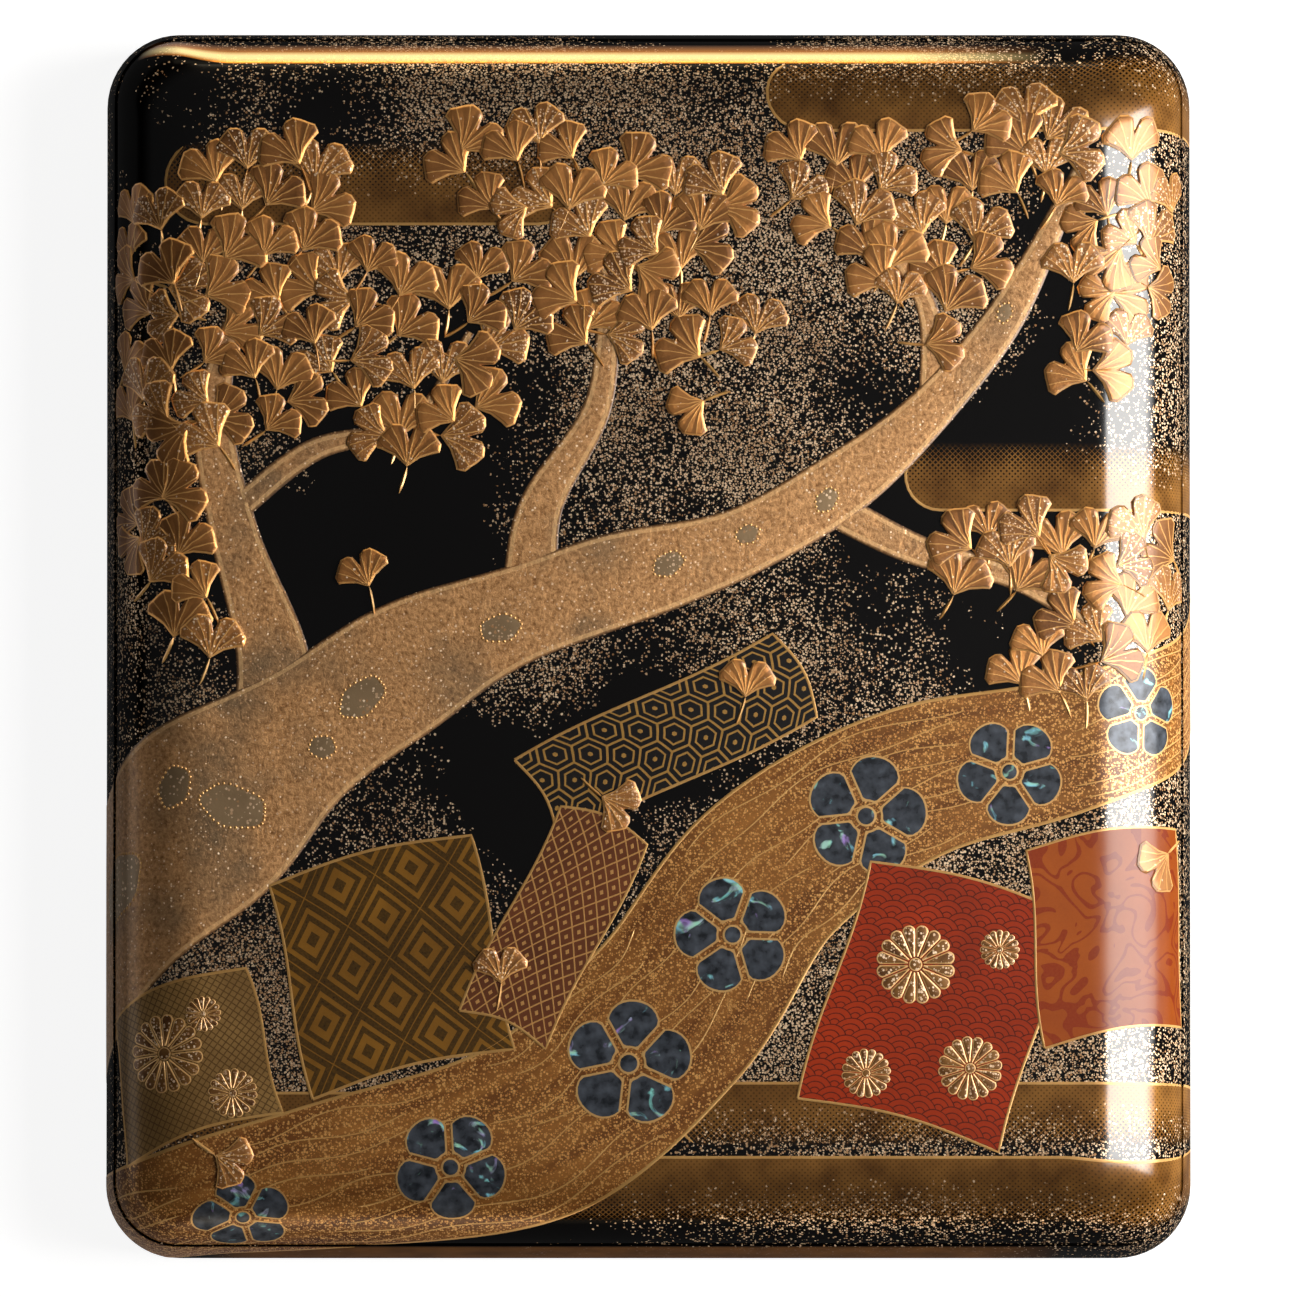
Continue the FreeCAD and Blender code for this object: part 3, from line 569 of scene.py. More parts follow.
def mist_group():
    """A bank of mist: a long rounded shape with one crisp edge that fades away from it."""
    inputs = {"Art": "Vector", **dict.fromkeys(("Left", "Right", "Low", "High", "Crisp top"), "Float")}
    group, given, result = new_tree("bank of mist", "ShaderNodeTree", inputs, {"Mist": "Float"})
    art, left, right, low, high, crisp_top = given
    x, y, _ = parts(art)
    half = (high - low) * 0.5
    over = most(left + half - x, x - (right - half), 0.0)
    depth = half - distance(over, y - (low + half))
    share = (y - low) / (half * 2.0)
    fade = (1.0 - crisp_top * 2.0) * (1.0 - share) + crisp_top
    plug(result["Mist"], (depth / (MIST_EDGE * MM)).clamped() * maths("POWER", most(fade, 0.0), MIST_FADE))
    return group


MIST_EDGE = 0.25
MIST_FADE = 0.55
# Left, right, low and high ends of each bank in the flattened decoration, and whether its top is crisp
MISTS = (
    (-98.0, -14.0, 84.0, 101.0, 0.0),
    (24.0, 170.0, 103.0, 119.0, 0.0),
    (6.0, 170.0, -103.0, -90.0, 1.0),
    (-34.0, 170.0, -119.5, -105.0, 1.0),
    (-104.0, -36.0, -104.0, -92.0, 1.0),
    (52.0, 170.0, 26.0, 40.0, 0.0),
)
# A gold band runs along the far shoulder, crisp on its near side; its pale core and orange edges are a
# painted highlight. Gold dust lies over the near skirt. Each row says where it starts, is full, begins to
# fade and ends.
BAND_DEEP = (117.9, 118.2, 121.5, 124.8)
BAND_WIDE = (-104.0, -94.0, 52.0, 80.0)
HIGHLIGHT_CORE = (118.3, 119.4, 120.4, 121.8)
SKIRT_DUST_WIDE = (-92.0, -80.0, 66.0, 84.0)
SKIRT_DUST_TOP = -129.4
SKIRT_DUST_FULL = -130.6
SPARE_HEIGHT = 24.0
DUST_CELL = 1.15


def band(value, start, full, fading, end):
    return ramp(value, start * MM, full * MM) * ramp(value, end * MM, fading * MM)


def burnished(place, metal):
    """How much a place shines. The lid's sides are hardly burnished."""
    return metal * ramp(parts(place)[2], BURNISH_LOW * MM, BURNISH_HIGH * MM, 0.12)


def off_middle(value):
    """How far a value lies from the middle of its own whole number, from zero to a half."""
    return abs(maths("FRACT", value) - 0.5)


def lozenges(place, wide, tall):
    """Slanted cells side by side: zero in the middle of each, a half at its edge."""
    x, y, _ = parts(place)
    return most(off_middle(x / wide + y / tall), off_middle(x / wide - y / tall))


def stored(material, name, output):
    """A value that a mesh's points store, in its material."""
    return Value(add_node(material.node_tree, "ShaderNodeAttribute", attribute_name=name), output)


def lid_ground():
    """Black lacquer with mist of gold dust and drifts of single gold grains, burnished on top. The drifts
    thin out down the sides as painted shade and thicken on the right shoulder, partly as a painted
    highlight; a gold band with a painted highlight runs along the far shoulder.
    """
    material, place = new_material("lid lacquer")
    art = Value(add_node(place.tree, "ShaderNodeUVMap", uv_map="art"))
    x, y, _ = parts(art)
    level = parts(place)[2]
    group = mist_group()
    mist = 0.0
    for *ends, crisp_top in MISTS:
        inputs = {name: end * MM for name, end in zip(("Left", "Right", "Low", "High"), ends)}
        inputs |= {"Art": art, "Crisp top": crisp_top}
        mist = most(Value(add_node(place.tree, "ShaderNodeGroup", inputs, node_tree=group)), mist)
    cells = lozenges(art, DUST_CELL * MM, DUST_CELL * MM) * 2.0
    cover = ((mist * 1.4 + cells - 1.15) * 3.0).clamped()
    # Painted shade: the drifts thin out down the lid's sides, so that the sides read darker. The next line
    # thins them towards the near edge.
    drifts = cloud(place, 60.0 * MM, 0.42, 0.58) * ramp(level, SPARE_HEIGHT * MM, BURNISH_HIGH * MM, 0.2)
    drifts = drifts * ramp(y, -124.0 * MM, -117.0 * MM, 0.4)
    # Painted highlight, partly real grains: the grains grow thick on the right shoulder, up to the arris,
    # where the right lamp's highlight falls.
    right_highlight_rise = ramp(level, SPARE_HEIGHT * MM, ARRIS_HEIGHT * MM, 0.3) * 0.62
    drifts = most(drifts, ramp(x, 84.0 * MM, 106.0 * MM) * right_highlight_rise)
    patchy = cloud(place, 7.0 * MM, 0.3, 0.7)
    dust = mixed(patchy, tint(94, 60, 24), tint(142, 98, 46))
    dust = mixed((cells < 0.45) * 0.45, dust, tint(40, 22, 8))
    density = drifts * (1.0 - mist * 1.2).clamped()
    colour, grains = dusted(place, mixed(cover, BLACK, dust), GOLD, 0.45 * MM, 0.52, density)
    # Painted highlight: the gold band's pale core and orange edges stand in for a highlight along the far
    # shoulder.
    gold_band_and_highlight = band(y, *BAND_DEEP) * band(x, *BAND_WIDE)
    gold = mixed(band(y, *HIGHLIGHT_CORE), tint(170, 104, 34), tint(255, 226, 154))
    colour = mixed(gold_band_and_highlight, colour, gold)
    near_foot = band(x, *SKIRT_DUST_WIDE) * ramp(y, SKIRT_DUST_TOP * MM, SKIRT_DUST_FULL * MM)
    colour = mixed(near_foot * 0.9, colour, mixed(patchy, tint(104, 68, 32), tint(132, 88, 44)))
    metal = most(burnished(place, most(grains * 0.75, cover * 0.65)), gold_band_and_highlight)
    feed(material, Base_Color=colour, Metallic=metal, Roughness=most(grains, cover) * 0.2 + 0.14)
    polish = stored(material, "polish", "Fac")
    return feed(material, Coat_Weight=polish, Coat_Roughness=0.14, Coat_IOR=1.9, Specular_IOR_Level=0.0)


def give(mesh, name, kind, values):
    """Stores one value for each point of a mesh."""
    field = "vector" if kind == "FLOAT_VECTOR" else "value"
    mesh.attributes.new(name, kind, "POINT").data.foreach_set(field, np.asarray(values, np.float32).ravel())


def lid_under(core, facings):
    """Rings of the lid's foot, its inner wall, the round to its ceiling, and the ceiling."""
    foot_out = SIDE[-1, 0]
    corner = np.array([CAVITY_INSET, LEDGE_HEIGHT])
    foot = round_over((foot_out, ARRIS_HEIGHT), (foot_out, LEDGE_HEIGHT), corner, FOOT_ROUND)
    turns = np.linspace(0.0, math.pi / 2, 13)
    inset = CAVITY_INSET + CEILING_ROUND * (1 - np.cos(turns))
    height = CEILING_HEIGHT - CEILING_ROUND * (1 - np.sin(turns))
    rings = []
    for place, level in np.concatenate([foot, [corner], np.column_stack([inset, height])]):
        grow = CAVITY_CORNER_R + CAVITY_INSET if place >= CAVITY_INSET - 0.01 else CORNER_R
        plan, _ = side_ring(core, facings, place, max(grow - place, LEAST_CORNER_R))
        rings.append(np.column_stack([plan, np.full(len(plan), level)]) * MM)
    return rings


def make_lid():
    """The lid's shell, with the flattened place of every outer point kept as its art map."""
    edge, facings = plan_ring(*TOP_HALF, ROLL_CORNER_R)
    arts = [edge * share for share in np.linspace(0.04, 1.0, 18)]
    arts += [edge + facings * reach for reach in ALONG[1:-1]]
    rings = [on_lid(art, np.zeros(len(art))) for art in arts]
    under = lid_under(edge - facings * ROLL_CORNER_R, facings)
    size = len(edge)
    count = len(rings) + len(under)
    points = np.vstack(rings + under + [on_lid(np.zeros((1, 2)), np.zeros(1))])
    faces = ring_faces(count, size)
    slots = [int(i >= len(rings) * size) for i in range(len(faces))] + [0] * size + [1]
    faces += [(j, (j + 1) % size, count * size) for j in range(size)]
    faces.append(tuple(range((count - 1) * size, count * size)))
    lid = lined_shell("lid_shell", points, faces, slots, [lid_ground(), INNER_LACQUER])
    reach = np.full(len(points), ALONG[-1])
    reach[: len(rings) * size] = np.concatenate([from_top_edge(art)[2] for art in arts])
    reach[-1] = 0.0
    give(lid.data, "polish", "FLOAT", 0.02 + 0.98 * np.clip((POLISH_END - reach) / POLISH_FADE, 0.0, 1.0))
    flat = np.concatenate(arts + [arts[-1]] * len(under) + [np.zeros((1, 2))]) * MM
    corners = np.empty(len(lid.data.loops), int)
    lid.data.loops.foreach_get("vertex_index", corners)
    art_map = lid.data.uv_layers.new(name="art")
    art_map.data.foreach_set("uv", flat[corners].astype(np.float32).ravel())
    return lid


lid_shell = make_lid()
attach(lid_shell, "lid")
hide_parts("lid")


# Gold lines. The crisp edge of each bank of mist is drawn with a fine line of raised lacquer, dusted
# with bright gold while wet. The same is done round the stream and the sheets of paper.
LINE_WIDTH = 0.55
LINE_HEIGHT = 0.05
RELIEF_FOOT = -0.03
RELIEF_CREASE_DEG = 50.0
STEP = 1.6
PAST_FOOT = 150.0


def laid_patch(art, height, tone=0.5, pattern=None):
    """A raised patch: a grid of flattened places, their heights, and what its material needs."""
    height = np.broadcast_to(height, art.shape[:2])
    pattern = art if pattern is None else pattern
    return {"art": art, "height": height, "tone": tone, "pattern": pattern.reshape(-1, 2) * MM}


def grid_rim(index):
    """The outer ring of a grid of point numbers."""
    return np.concatenate([index[:, 0], index[-1, 1:], index[-2::-1, -1], index[0, -2:0:-1]])


def grid_quads(index):
    return np.stack([index[:-1, :-1], index[1:, :-1], index[1:, 1:], index[:-1, 1:]], axis=-1).reshape(-1, 4)


def patch_faces(kept):
    """Quads of a closed slab over the kept quads of a grid."""
    rows, columns = np.add(kept.shape, 1)
    count = rows * columns
    top = grid_quads(np.arange(count).reshape(rows, columns))[kept.ravel()]
    edges = np.stack([top, np.roll(top, -1, axis=1)], axis=-1).reshape(-1, 2)
    known = set(map(tuple, edges.tolist()))
    rim = np.array([edge for edge in edges.tolist() if (edge[1], edge[0]) not in known])
    walls = np.column_stack([rim[:, ::-1], rim + count])
    return np.concatenate([top, top[:, ::-1] + count, walls])


def finish_relief(name, points, faces, patterns, tones, material):
    """Makes the piece, with its pattern places and its tones, and fixes it on the lid."""
    mesh = new_mesh(name, points, faces, [material])
    give(mesh, "pattern", "FLOAT_VECTOR", patterns)
    give(mesh, "tone", "FLOAT", tones)
    piece = closed(name, mesh, RELIEF_CREASE_DEG, cleared=True)
    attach(piece, "lid")


def relief(name, patches, material):
    """Lays raised patches on the lid's top and, past the groove, on its skirt."""
    points, faces, patterns, tones = [], [], [], []
    count = 0
    for patch in patches:
        art = patch["art"].reshape(-1, 2)
        core, facings, reach = from_top_edge(art)
        flat = np.column_stack([patch["pattern"], np.zeros(len(art))])
        for low, high in ZONES:
            inside = ((reach > low) & (reach < high)).reshape(patch["art"].shape[:2])
            kept = inside[:-1, :-1] | inside[1:, :-1] | inside[1:, 1:] | inside[:-1, 1:]
            if not kept.any():
                continue
            laid = core + facings * (np.clip(reach, low, high) + ROLL_CORNER_R)[:, None]
            foot = np.full(len(laid), RELIEF_FOOT)
            points += [on_lid(laid, patch["height"].reshape(-1)), on_lid(laid, foot)]
            faces.append(patch_faces(kept) + count)
            patterns += [flat, flat]
            tones.append(np.full(2 * len(laid), patch["tone"]))
            count += 2 * len(laid)
    points, faces, patterns, tones = map(np.concatenate, (points, faces, patterns, tones))
    finish_relief(name, points, faces.tolist(), patterns, tones, material)


def smooth_line(knots, spacing=STEP):
    """Even points on a smooth line through knots of any number of columns."""
    knots = np.array(knots, float)
    ends = np.vstack([2 * knots[0] - knots[1], knots, 2 * knots[-1] - knots[-2]])
    t = np.linspace(0.0, 1.0, 24, endpoint=False)[:, None]
    pieces = []
    for i in range(len(knots) - 1):
        a, b, c, d = ends[i : i + 4]
        curve = 2 * b + (c - a) * t + (2 * a - 5 * b + 4 * c - d) * t**2 + (3 * b - a - 3 * c + d) * t**3
        pieces.append(0.5 * curve)
    dense = np.vstack(pieces + [knots[-1:]])
    along = np.concatenate([[0.0], np.cumsum(np.linalg.norm(np.diff(dense[:, :2], axis=0), axis=1))])
    even = np.linspace(0.0, along[-1], max(int(along[-1] / spacing), 2) + 1)
    return np.column_stack([np.interp(even, along, column) for column in dense.T])


def beside(line, offsets):
    """Places to the left of a line, with a row of offsets for each of its points."""
    way = np.gradient(line[:, :2], axis=0)
    way /= np.linalg.norm(way, axis=1)[:, None]
    side = np.column_stack([-way[:, 1], way[:, 0]])
    return line[:, None, :2] + side[:, None, :] * offsets[:, :, None]


def ribbon(line, widths, across):
    """A grid along a line: its places, and each column's share from one side to the other."""
    shares = np.linspace(-1.0, 1.0, across)
    half = np.broadcast_to(widths, len(line)) / 2
    return beside(line, half[:, None] * shares), shares


def stroke(line, width=LINE_WIDTH, height=LINE_HEIGHT, tone=0.5):
    """A fine line with its ends drawn to a point."""
    taper = np.minimum(np.arange(len(line)), np.arange(len(line))[::-1]) + 0.4
    grid, _ = ribbon(np.asarray(line), width * np.minimum(taper / 1.4, 1.0), 3)
    return laid_patch(grid, height * np.array([0.5, 1.0, 0.5]), tone)


def bump(height, strength, depth, invert=False):
    """Fine relief from a height, in the material alone."""
    inputs = {"Strength": strength, "Distance": depth * MM, "Height": height}
    return Value(add_node(height.tree, "ShaderNodeBump", inputs, invert=invert))


def satin(material, place, metal, coat=0.7, **inputs):
    """The finish of raised work: metal under a thin clear lacquer, both worn off down the lid's sides."""
    feed(material, Metallic=burnished(place, metal), Coat_Weight=burnished(place, coat), **inputs)
    return feed(material, Coat_Roughness=0.26, Coat_IOR=1.7, Specular_IOR_Level=0.0)


def gold_relief(name, light, dark, roughness, glitter):
    """Raised lacquer dusted with gold: a soft grain, patches of wear and some brighter grains."""
    material, place = new_material(name)
    fine = noise(place, 0.5 * MM)
    share = cloud(place, 7.0 * MM, 0.3, 0.7) * 0.35 + stored(material, "tone", "Fac") * 0.65
    colour, _ = dusted(place, mixed(share, dark, light), GOLD, 0.62 * MM, 0.45, glitter)
    rough = fine * 0.2 + (roughness - 0.1)
    return satin(material, place, 0.7, Base_Color=colour, Roughness=rough, Normal=bump(fine, 0.35, 0.06))


BRIGHT_GOLD = gold_relief("bright gold line", tint(226, 178, 108), tint(176, 124, 60), 0.32, 0.0)


def mist_edges():
    """The crisp edge and the round end of each bank of mist. Some banks run on past the lid's foot."""
    strokes = []
    for left, right, low, high, crisp_top in MISTS:
        half = (high - low) / 2
        turns = np.linspace(-math.pi / 2, 1.0, 12) * (-1 if crisp_top else 1)
        start = np.array([left + half, high if crisp_top else low])
        end = np.array([min(right, PAST_FOOT) - half, start[1]])
        line = smooth_line([start, (start + end) / 2, end])
        over, up = half * np.cos(turns), (high + low) / 2 + half * np.sin(turns)
        if right < PAST_FOOT:
            line = np.vstack([line[:-1], np.column_stack([right - half + over, up])])
        strokes.append(stroke(np.vstack([np.column_stack([left + half - over, up])[::-1], line[1:]])))
    return strokes


relief("mist_edges", mist_edges(), BRIGHT_GOLD)


# The stream. It winds down the lid as a broad field of tan gold grains between raised gold banks,
# with fine raised lines for the current.
STREAM_HEIGHT = 0.11
STREAM_COLUMNS = 29
# x, y and width along its middle in the flattened decoration
STREAM = smooth_line(
    ((150.0, 6.0, 22.0), (118.0, -10.0, 24.0), (84.0, -22.0, 27.0), (52.0, -30.0, 31.0), (24.0, -48.0, 35.0),
     (4.0, -76.0, 38.0), (-24.0, -100.0, 38.0), (-64.0, -112.0, 36.0), (-100.0, -122.0, 34.0),
     (-150.0, -140.0, 34.0))
)


def stretched(place, scale, turn=(0.0, 0.0, 0.0)):
    """Places turned and drawn together, so that a pattern on them grows long."""
    inputs = {"Vector": place, "Rotation": turn, "Scale": scale}
    return Value(add_node(place.tree, "ShaderNodeMapping", inputs))


def stream_finish():
    """Tan lacquer full of fine gold grains, a little streaked along the water."""
    material, place = new_material("stream gold")
    flow = stretched(stored(material, "pattern", "Vector"), (0.12, 1.0, 1.0))
    ground = mixed(cloud(flow, 3.0 * MM, 0.35, 0.65), tint(96, 54, 18), tint(142, 92, 40))
    ground = mixed(cloud(place, 26.0 * MM, 0.35, 0.65) * 0.4, ground, tint(84, 48, 18))
    colour, grains = dusted(place, ground, tint(218, 160, 88), 0.44 * MM, 0.55, 0.72)
    return satin(material, place, grains * 0.4 + 0.3, Base_Color=colour, Roughness=0.42 - grains * 0.12)


def offset_line(line, shares):
    """A line beside the stream's middle, at a share of its half width."""
    return beside(line, (line[:, 2] / 2 * shares)[:, None])[:, 0]


def make_stream():
    grid, shares = ribbon(STREAM, STREAM[:, 2], STREAM_COLUMNS)
    along = np.arange(len(STREAM)) * STEP
    flow = np.stack(np.broadcast_arrays(along[:, None], shares * 18.0), axis=-1)
    relief("stream", [laid_patch(grid, STREAM_HEIGHT, pattern=flow)], stream_finish())
    banks = [offset_line(STREAM, np.full(len(STREAM), side)) for side in (-1.0, 1.0)]
    strokes = [stroke(bank, 0.7, STREAM_HEIGHT + 0.08) for bank in banks]
    draw = np.random.default_rng(21)
    for lane in np.linspace(-0.82, 0.82, 9):
        start = int(draw.integers(2, 20))
        while start < len(STREAM) - 12:
            count = int(draw.integers(14, 44))
            part = STREAM[start : start + count]
            wave = lane + 0.06 * np.sin(np.arange(len(part)) * 0.33 + draw.uniform(0, 6))
            strokes.append(stroke(offset_line(part, wave), 0.4, STREAM_HEIGHT + 0.05, 0.8))
            start += count + int(draw.integers(5, 22))
    relief("stream_lines", strokes, BRIGHT_GOLD)


make_stream()


# The bough. Thick lacquer is built up in rounded form and dusted with gold, rough like bark, with painted
# shade along its edges and a painted highlight just inside them. It comes in from the left and divides
# under the leaves.
BARK_HEIGHT = 0.24
BARK_RIM = np.array([0.0, 0.18, 0.45, 0.9, 1.6])
BARK_RIM_WIDTH = 0.8
BARK_ROUGHNESS = 0.03
# For each bough its share of the height, and then x, y and width along it
BOUGHS = (
    (1.0, (-150.0, -64.0, 60.0), (-122.0, -56.0, 50.0), (-96.0, -40.0, 41.0), (-70.0, -20.0, 31.0),
     (-42.0, -2.0, 24.0), (-12.0, 10.0, 19.0), (20.0, 20.0, 15.0), (48.0, 38.0, 11.5), (70.0, 62.0, 8.0),
     (84.0, 88.0, 4.4), (89.0, 101.0, 0.8)),
    (0.55, (-76.0, -26.0, 20.0), (-76.0, -4.0, 14.0), (-84.0, 22.0, 10.5), (-88.0, 46.0, 7.0),
     (-82.0, 72.0, 3.0)),
    (0.55, (-24.0, 4.0, 13.0), (-22.0, 26.0, 8.5), (-10.0, 48.0, 6.0), (-8.0, 76.0, 3.0)),
    (0.5, (34.0, 28.0, 8.0), (54.0, 18.0, 6.0), (74.0, 12.0, 4.5), (96.0, -2.0, 2.0)),
    (0.4, (-86.0, 24.0, 6.0), (-68.0, 38.0, 4.5), (-48.0, 44.0, 3.0), (-36.0, 62.0, 1.6)),
    (0.4, (58.0, 48.0, 6.0), (56.0, 68.0, 4.5), (44.0, 86.0, 2.4)),
)


def near(value, middle, reach):
    """One where the value is near the middle, else zero."""
    return maths("COMPARE", value, middle, reach)


def bark_finish():
    """Gold on bark: grainy, a little silver where it has worn, with painted shade along its edges and a
    painted highlight just inside them.
    """
    material, place = new_material("bark gold")
    edge = parts(stored(material, "pattern", "Vector"))[1]
    painted_edge_shade = (1.2 - edge / (0.5 * MM)).clamped()
    fine = noise(place, 0.9 * MM, 4.0, Roughness=0.7)
    colour = mixed(ramp(fine, 0.3, 0.7), tint(124, 82, 44), tint(216, 164, 110))
    colour = mixed(cloud(place, 20.0 * MM, 0.5, 0.72, 0.8), colour, tint(96, 84, 66))
    # Painted highlight on the raised rim just inside the edge, then painted shade along the edge itself.
    colour = mixed(near(edge, 0.95 * MM, 0.4 * MM) * 0.45, colour, tint(228, 184, 128))
    colour = mixed(painted_edge_shade * 0.85, colour, tint(48, 28, 14))
    colour, _ = dusted(place, colour, GOLD, 0.5 * MM, 0.4, 0.16)
    return satin(material, place, 0.6, Base_Color=colour, Roughness=0.44, Normal=bump(fine, 0.8, 0.2))


def bark_offsets(widths):
    """Offsets across a bough, close together at both edges, so that its raised edge is crisp."""
    half = widths[:, None] / 2
    rim = BARK_RIM * np.minimum(half / (2 * BARK_RIM[-1]), 1.0)
    middle = (half - rim[:, -1:]) * np.linspace(-1.0, 1.0, 11)[1:-1]
    return np.hstack([rim - half, middle, (half - rim)[:, ::-1]])


def make_boughs():
    draw = np.random.default_rng(5)
    patches = []
    for share, *knots in BOUGHS:
        line = smooth_line(knots)
        line[:, 2] *= 1 + 0.06 * np.sin(np.arange(len(line)) * 0.21 + draw.uniform(0, 6))
        offsets = bark_offsets(line[:, 2])
        half = line[:, 2:] / 2
        edge = half - np.abs(offsets)
        rim = np.sqrt(1 - (1 - np.minimum(edge / BARK_RIM_WIDTH, 1.0)) ** 2)
        rough = draw.uniform(-1.0, 1.0, offsets.shape)
        rough = (rough + np.roll(rough, 1, axis=0) + np.roll(rough, 1, axis=1)) / 3
        height = share * BARK_HEIGHT * (0.6 * rim + 0.4 * (1 - (offsets / half) ** 2))
        height = np.maximum(height + BARK_ROUGHNESS * rough * rim, 0.0)
        along = np.arange(len(line)) * STEP
        pattern = np.stack(np.broadcast_arrays(along[:, None], edge), axis=-1)
        patches.append(laid_patch(beside(line, offsets), height, pattern=pattern))
    relief("boughs", patches, bark_finish())


make_boughs()


# The ginkgo leaves. Each is built up in lacquer as a low dome with a raised rim, and dusted with gold,
# some smooth and some glittering. Leaves lie over each other in layers.
LEAF_SPREAD_DEG = 62.0
LEAF_R = 8.9
LEAF_EDGE = 0.11
LEAF_EDGE_WIDTH = 0.35
LEAF_LIFT = 0.26
LAYER = 0.038
LAYERS = 9
LEAF_SPACING = 6.5
LAYER_SPACING = 17.0
MOST_TRIES = 600
VEINS = 3.5
# Middle, spread and number of leaves of each cluster in the flattened decoration, and single leaves
CLUSTERS = (
    (-97.0, 78.0, 15.0, 14.0, 14), (-76.0, 91.0, 17.0, 10.0, 12), (-88.0, 54.0, 22.0, 15.0, 20),
    (-62.0, 68.0, 16.0, 13.0, 13), (-46.0, 50.0, 16.0, 11.0, 12), (-32.0, 70.0, 10.0, 9.0, 6),
    (-24.0, 95.0, 17.0, 10.0, 12), (0.0, 85.0, 19.0, 13.0, 15), (14.0, 65.0, 11.0, 8.0, 5),
    (-12.0, 68.0, 12.0, 10.0, 7), (38.0, 94.0, 13.0, 10.0, 9), (56.0, 79.0, 15.0, 11.0, 10),
    (74.0, 99.0, 16.0, 11.0, 11), (97.0, 84.0, 13.0, 18.0, 13), (90.0, 60.0, 9.0, 7.0, 4),
    (72.0, 17.0, 13.0, 8.0, 8), (95.0, 11.0, 14.0, 14.0, 12), (82.0, -5.0, 12.0, 7.0, 6),
    (-99.0, 24.0, 11.0, 10.0, 7), (-90.0, 6.0, 7.0, 6.0, 3),
)
LOOSE = (
    (-6.0, -34.0), (-58.0, 14.0), (20.0, -8.0), (-30.0, -66.0),
    (60.0, 60.0), (104.0, -46.0), (-84.0, -106.0), (8.0, 46.0),
)


def leaf_grid():
    """One leaf, its stalk end at the origin. Its pattern holds turn, distance to its rim and radius."""
    half = np.array([0.04, 0.1, 0.22, 0.38, 0.54, 0.7, 0.84, 0.95, 1.0])
    turns = np.concatenate([-half[::-1], [0.0], half])[:, None]
    shares = np.array([0.02, 0.45, 0.8, 0.95, 1.0])
    spread = math.radians(LEAF_SPREAD_DEG) * (0.35 + 0.65 * shares**0.4)
    reach = LEAF_R * (1.0 - 0.2 * np.abs(turns) ** 3 + 0.03 * np.cos(turns * 15.0))
    reach *= 1.0 - 0.42 * np.exp(-((turns / 0.09) ** 2))
    radius = reach * shares
    edge = np.minimum((1 - shares) * reach, (1 - np.abs(turns)) * spread * radius)
    ribs = 0.02 * np.cos(turns * 34.0) ** 2 * shares * (edge > 0)
    height = LEAF_EDGE * np.minimum(edge / LEAF_EDGE_WIDTH, 1.0) + ribs
    angle = math.pi / 2 - turns * spread
    return radius * np.cos(angle), radius * np.sin(angle), height, turns, edge, radius


def motif_object(name, grids):
    """A flat motif of closed pieces. Each grid holds x, y, height and three values for its pattern."""
    points, faces, patterns, feet = [], [], [], []
    count = 0
    for grid in grids:
        x, y, height, *values = np.broadcast_arrays(*grid)
        upper = np.stack([x, y, height], axis=-1).reshape(-1, 3)
        index = np.arange(len(upper)).reshape(x.shape) + count
        rim = grid_rim(index)
        ahead = np.roll(rim, -1)
        under = len(upper)
        walls = np.stack([rim, rim + under, ahead + under, ahead], axis=1)
        points += [upper, upper * (1, 1, 0)]
        faces += grid_quads(index).tolist() + walls.tolist() + [(rim + under).tolist()]
        patterns += [np.stack(values, axis=-1).reshape(-1, 3)] * 2
        feet += [np.zeros(under), np.ones(under)]
        count += 2 * under
    mesh = new_mesh(name, np.concatenate(points), faces)
    give(mesh, "foot", "FLOAT", np.concatenate(feet))
    give(mesh, "pattern", "FLOAT_VECTOR", np.concatenate(patterns))
    return bpy.data.objects.new(name, mesh)


def point_value(tree, name):
    """What the points of a mesh store, in geometry nodes."""
    node = add_node(tree, "GeometryNodeInputNamedAttribute", {"Name": name}, data_type="FLOAT")
    return Value(node, "Attribute")


def finished(tree, geometry, finish, result):
    """The end of a tree: copies are made real and get their material."""
    real = add_node(tree, "GeometryNodeRealizeInstances", {"Geometry": geometry})
    inputs = {"Geometry": Value(real), "Material": finish}
    plug(result[0], Value(add_node(tree, "GeometryNodeSetMaterial", inputs)))
    return tree


def strewing_tree():
    """Geometry nodes that set one motif on each point, turned and sized as the point says."""
    inputs = {"Points": "Geometry", "Motif": "Object", "Finish": "Material"}
    tree, given, result = new_tree("strewn motifs", "GeometryNodeTree", inputs, {"Motifs": "Geometry"})
    points, motif, finish = given
    shape = Value(add_node(tree, "GeometryNodeObjectInfo", {"Object": motif}), "Geometry")
    turn = Value(add_node(tree, "ShaderNodeCombineXYZ", {"Z": point_value(tree, "turn")}))
    size = point_value(tree, "size")
    wide = Value(add_node(tree, "ShaderNodeCombineXYZ", {"X": size, "Y": size, "Z": 1.0}))
    inputs = {"Points": points, "Instance": shape, "Rotation": turn, "Scale": wide}
    return finished(tree, Value(add_node(tree, "GeometryNodeInstanceOnPoints", inputs)), finish, result)


STREWING = strewing_tree()


def grown(mesh, tree, inputs):
    """The plain mesh that geometry nodes make of another."""
    holder = set_down(mesh.name, mesh)
    modifier = holder.modifiers.new(tree.name, "NODES")
    modifier.node_group = tree
    named = {item.name: item.identifier for item in tree.interface.items_tree}
    for name, value in inputs.items():
        modifier[named[name]] = value
    made = bpy.data.meshes.new_from_object(holder.evaluated_get(bpy.context.evaluated_depsgraph_get()))
    bpy.data.objects.remove(holder)
    return made


def read(mesh, name, width):
    """The values stored for a mesh's points."""
    values = np.empty(len(mesh.vertices) * width)
    mesh.attributes[name].data.foreach_get("vector" if width == 3 else "value", values)
    return values.reshape(-1, width)


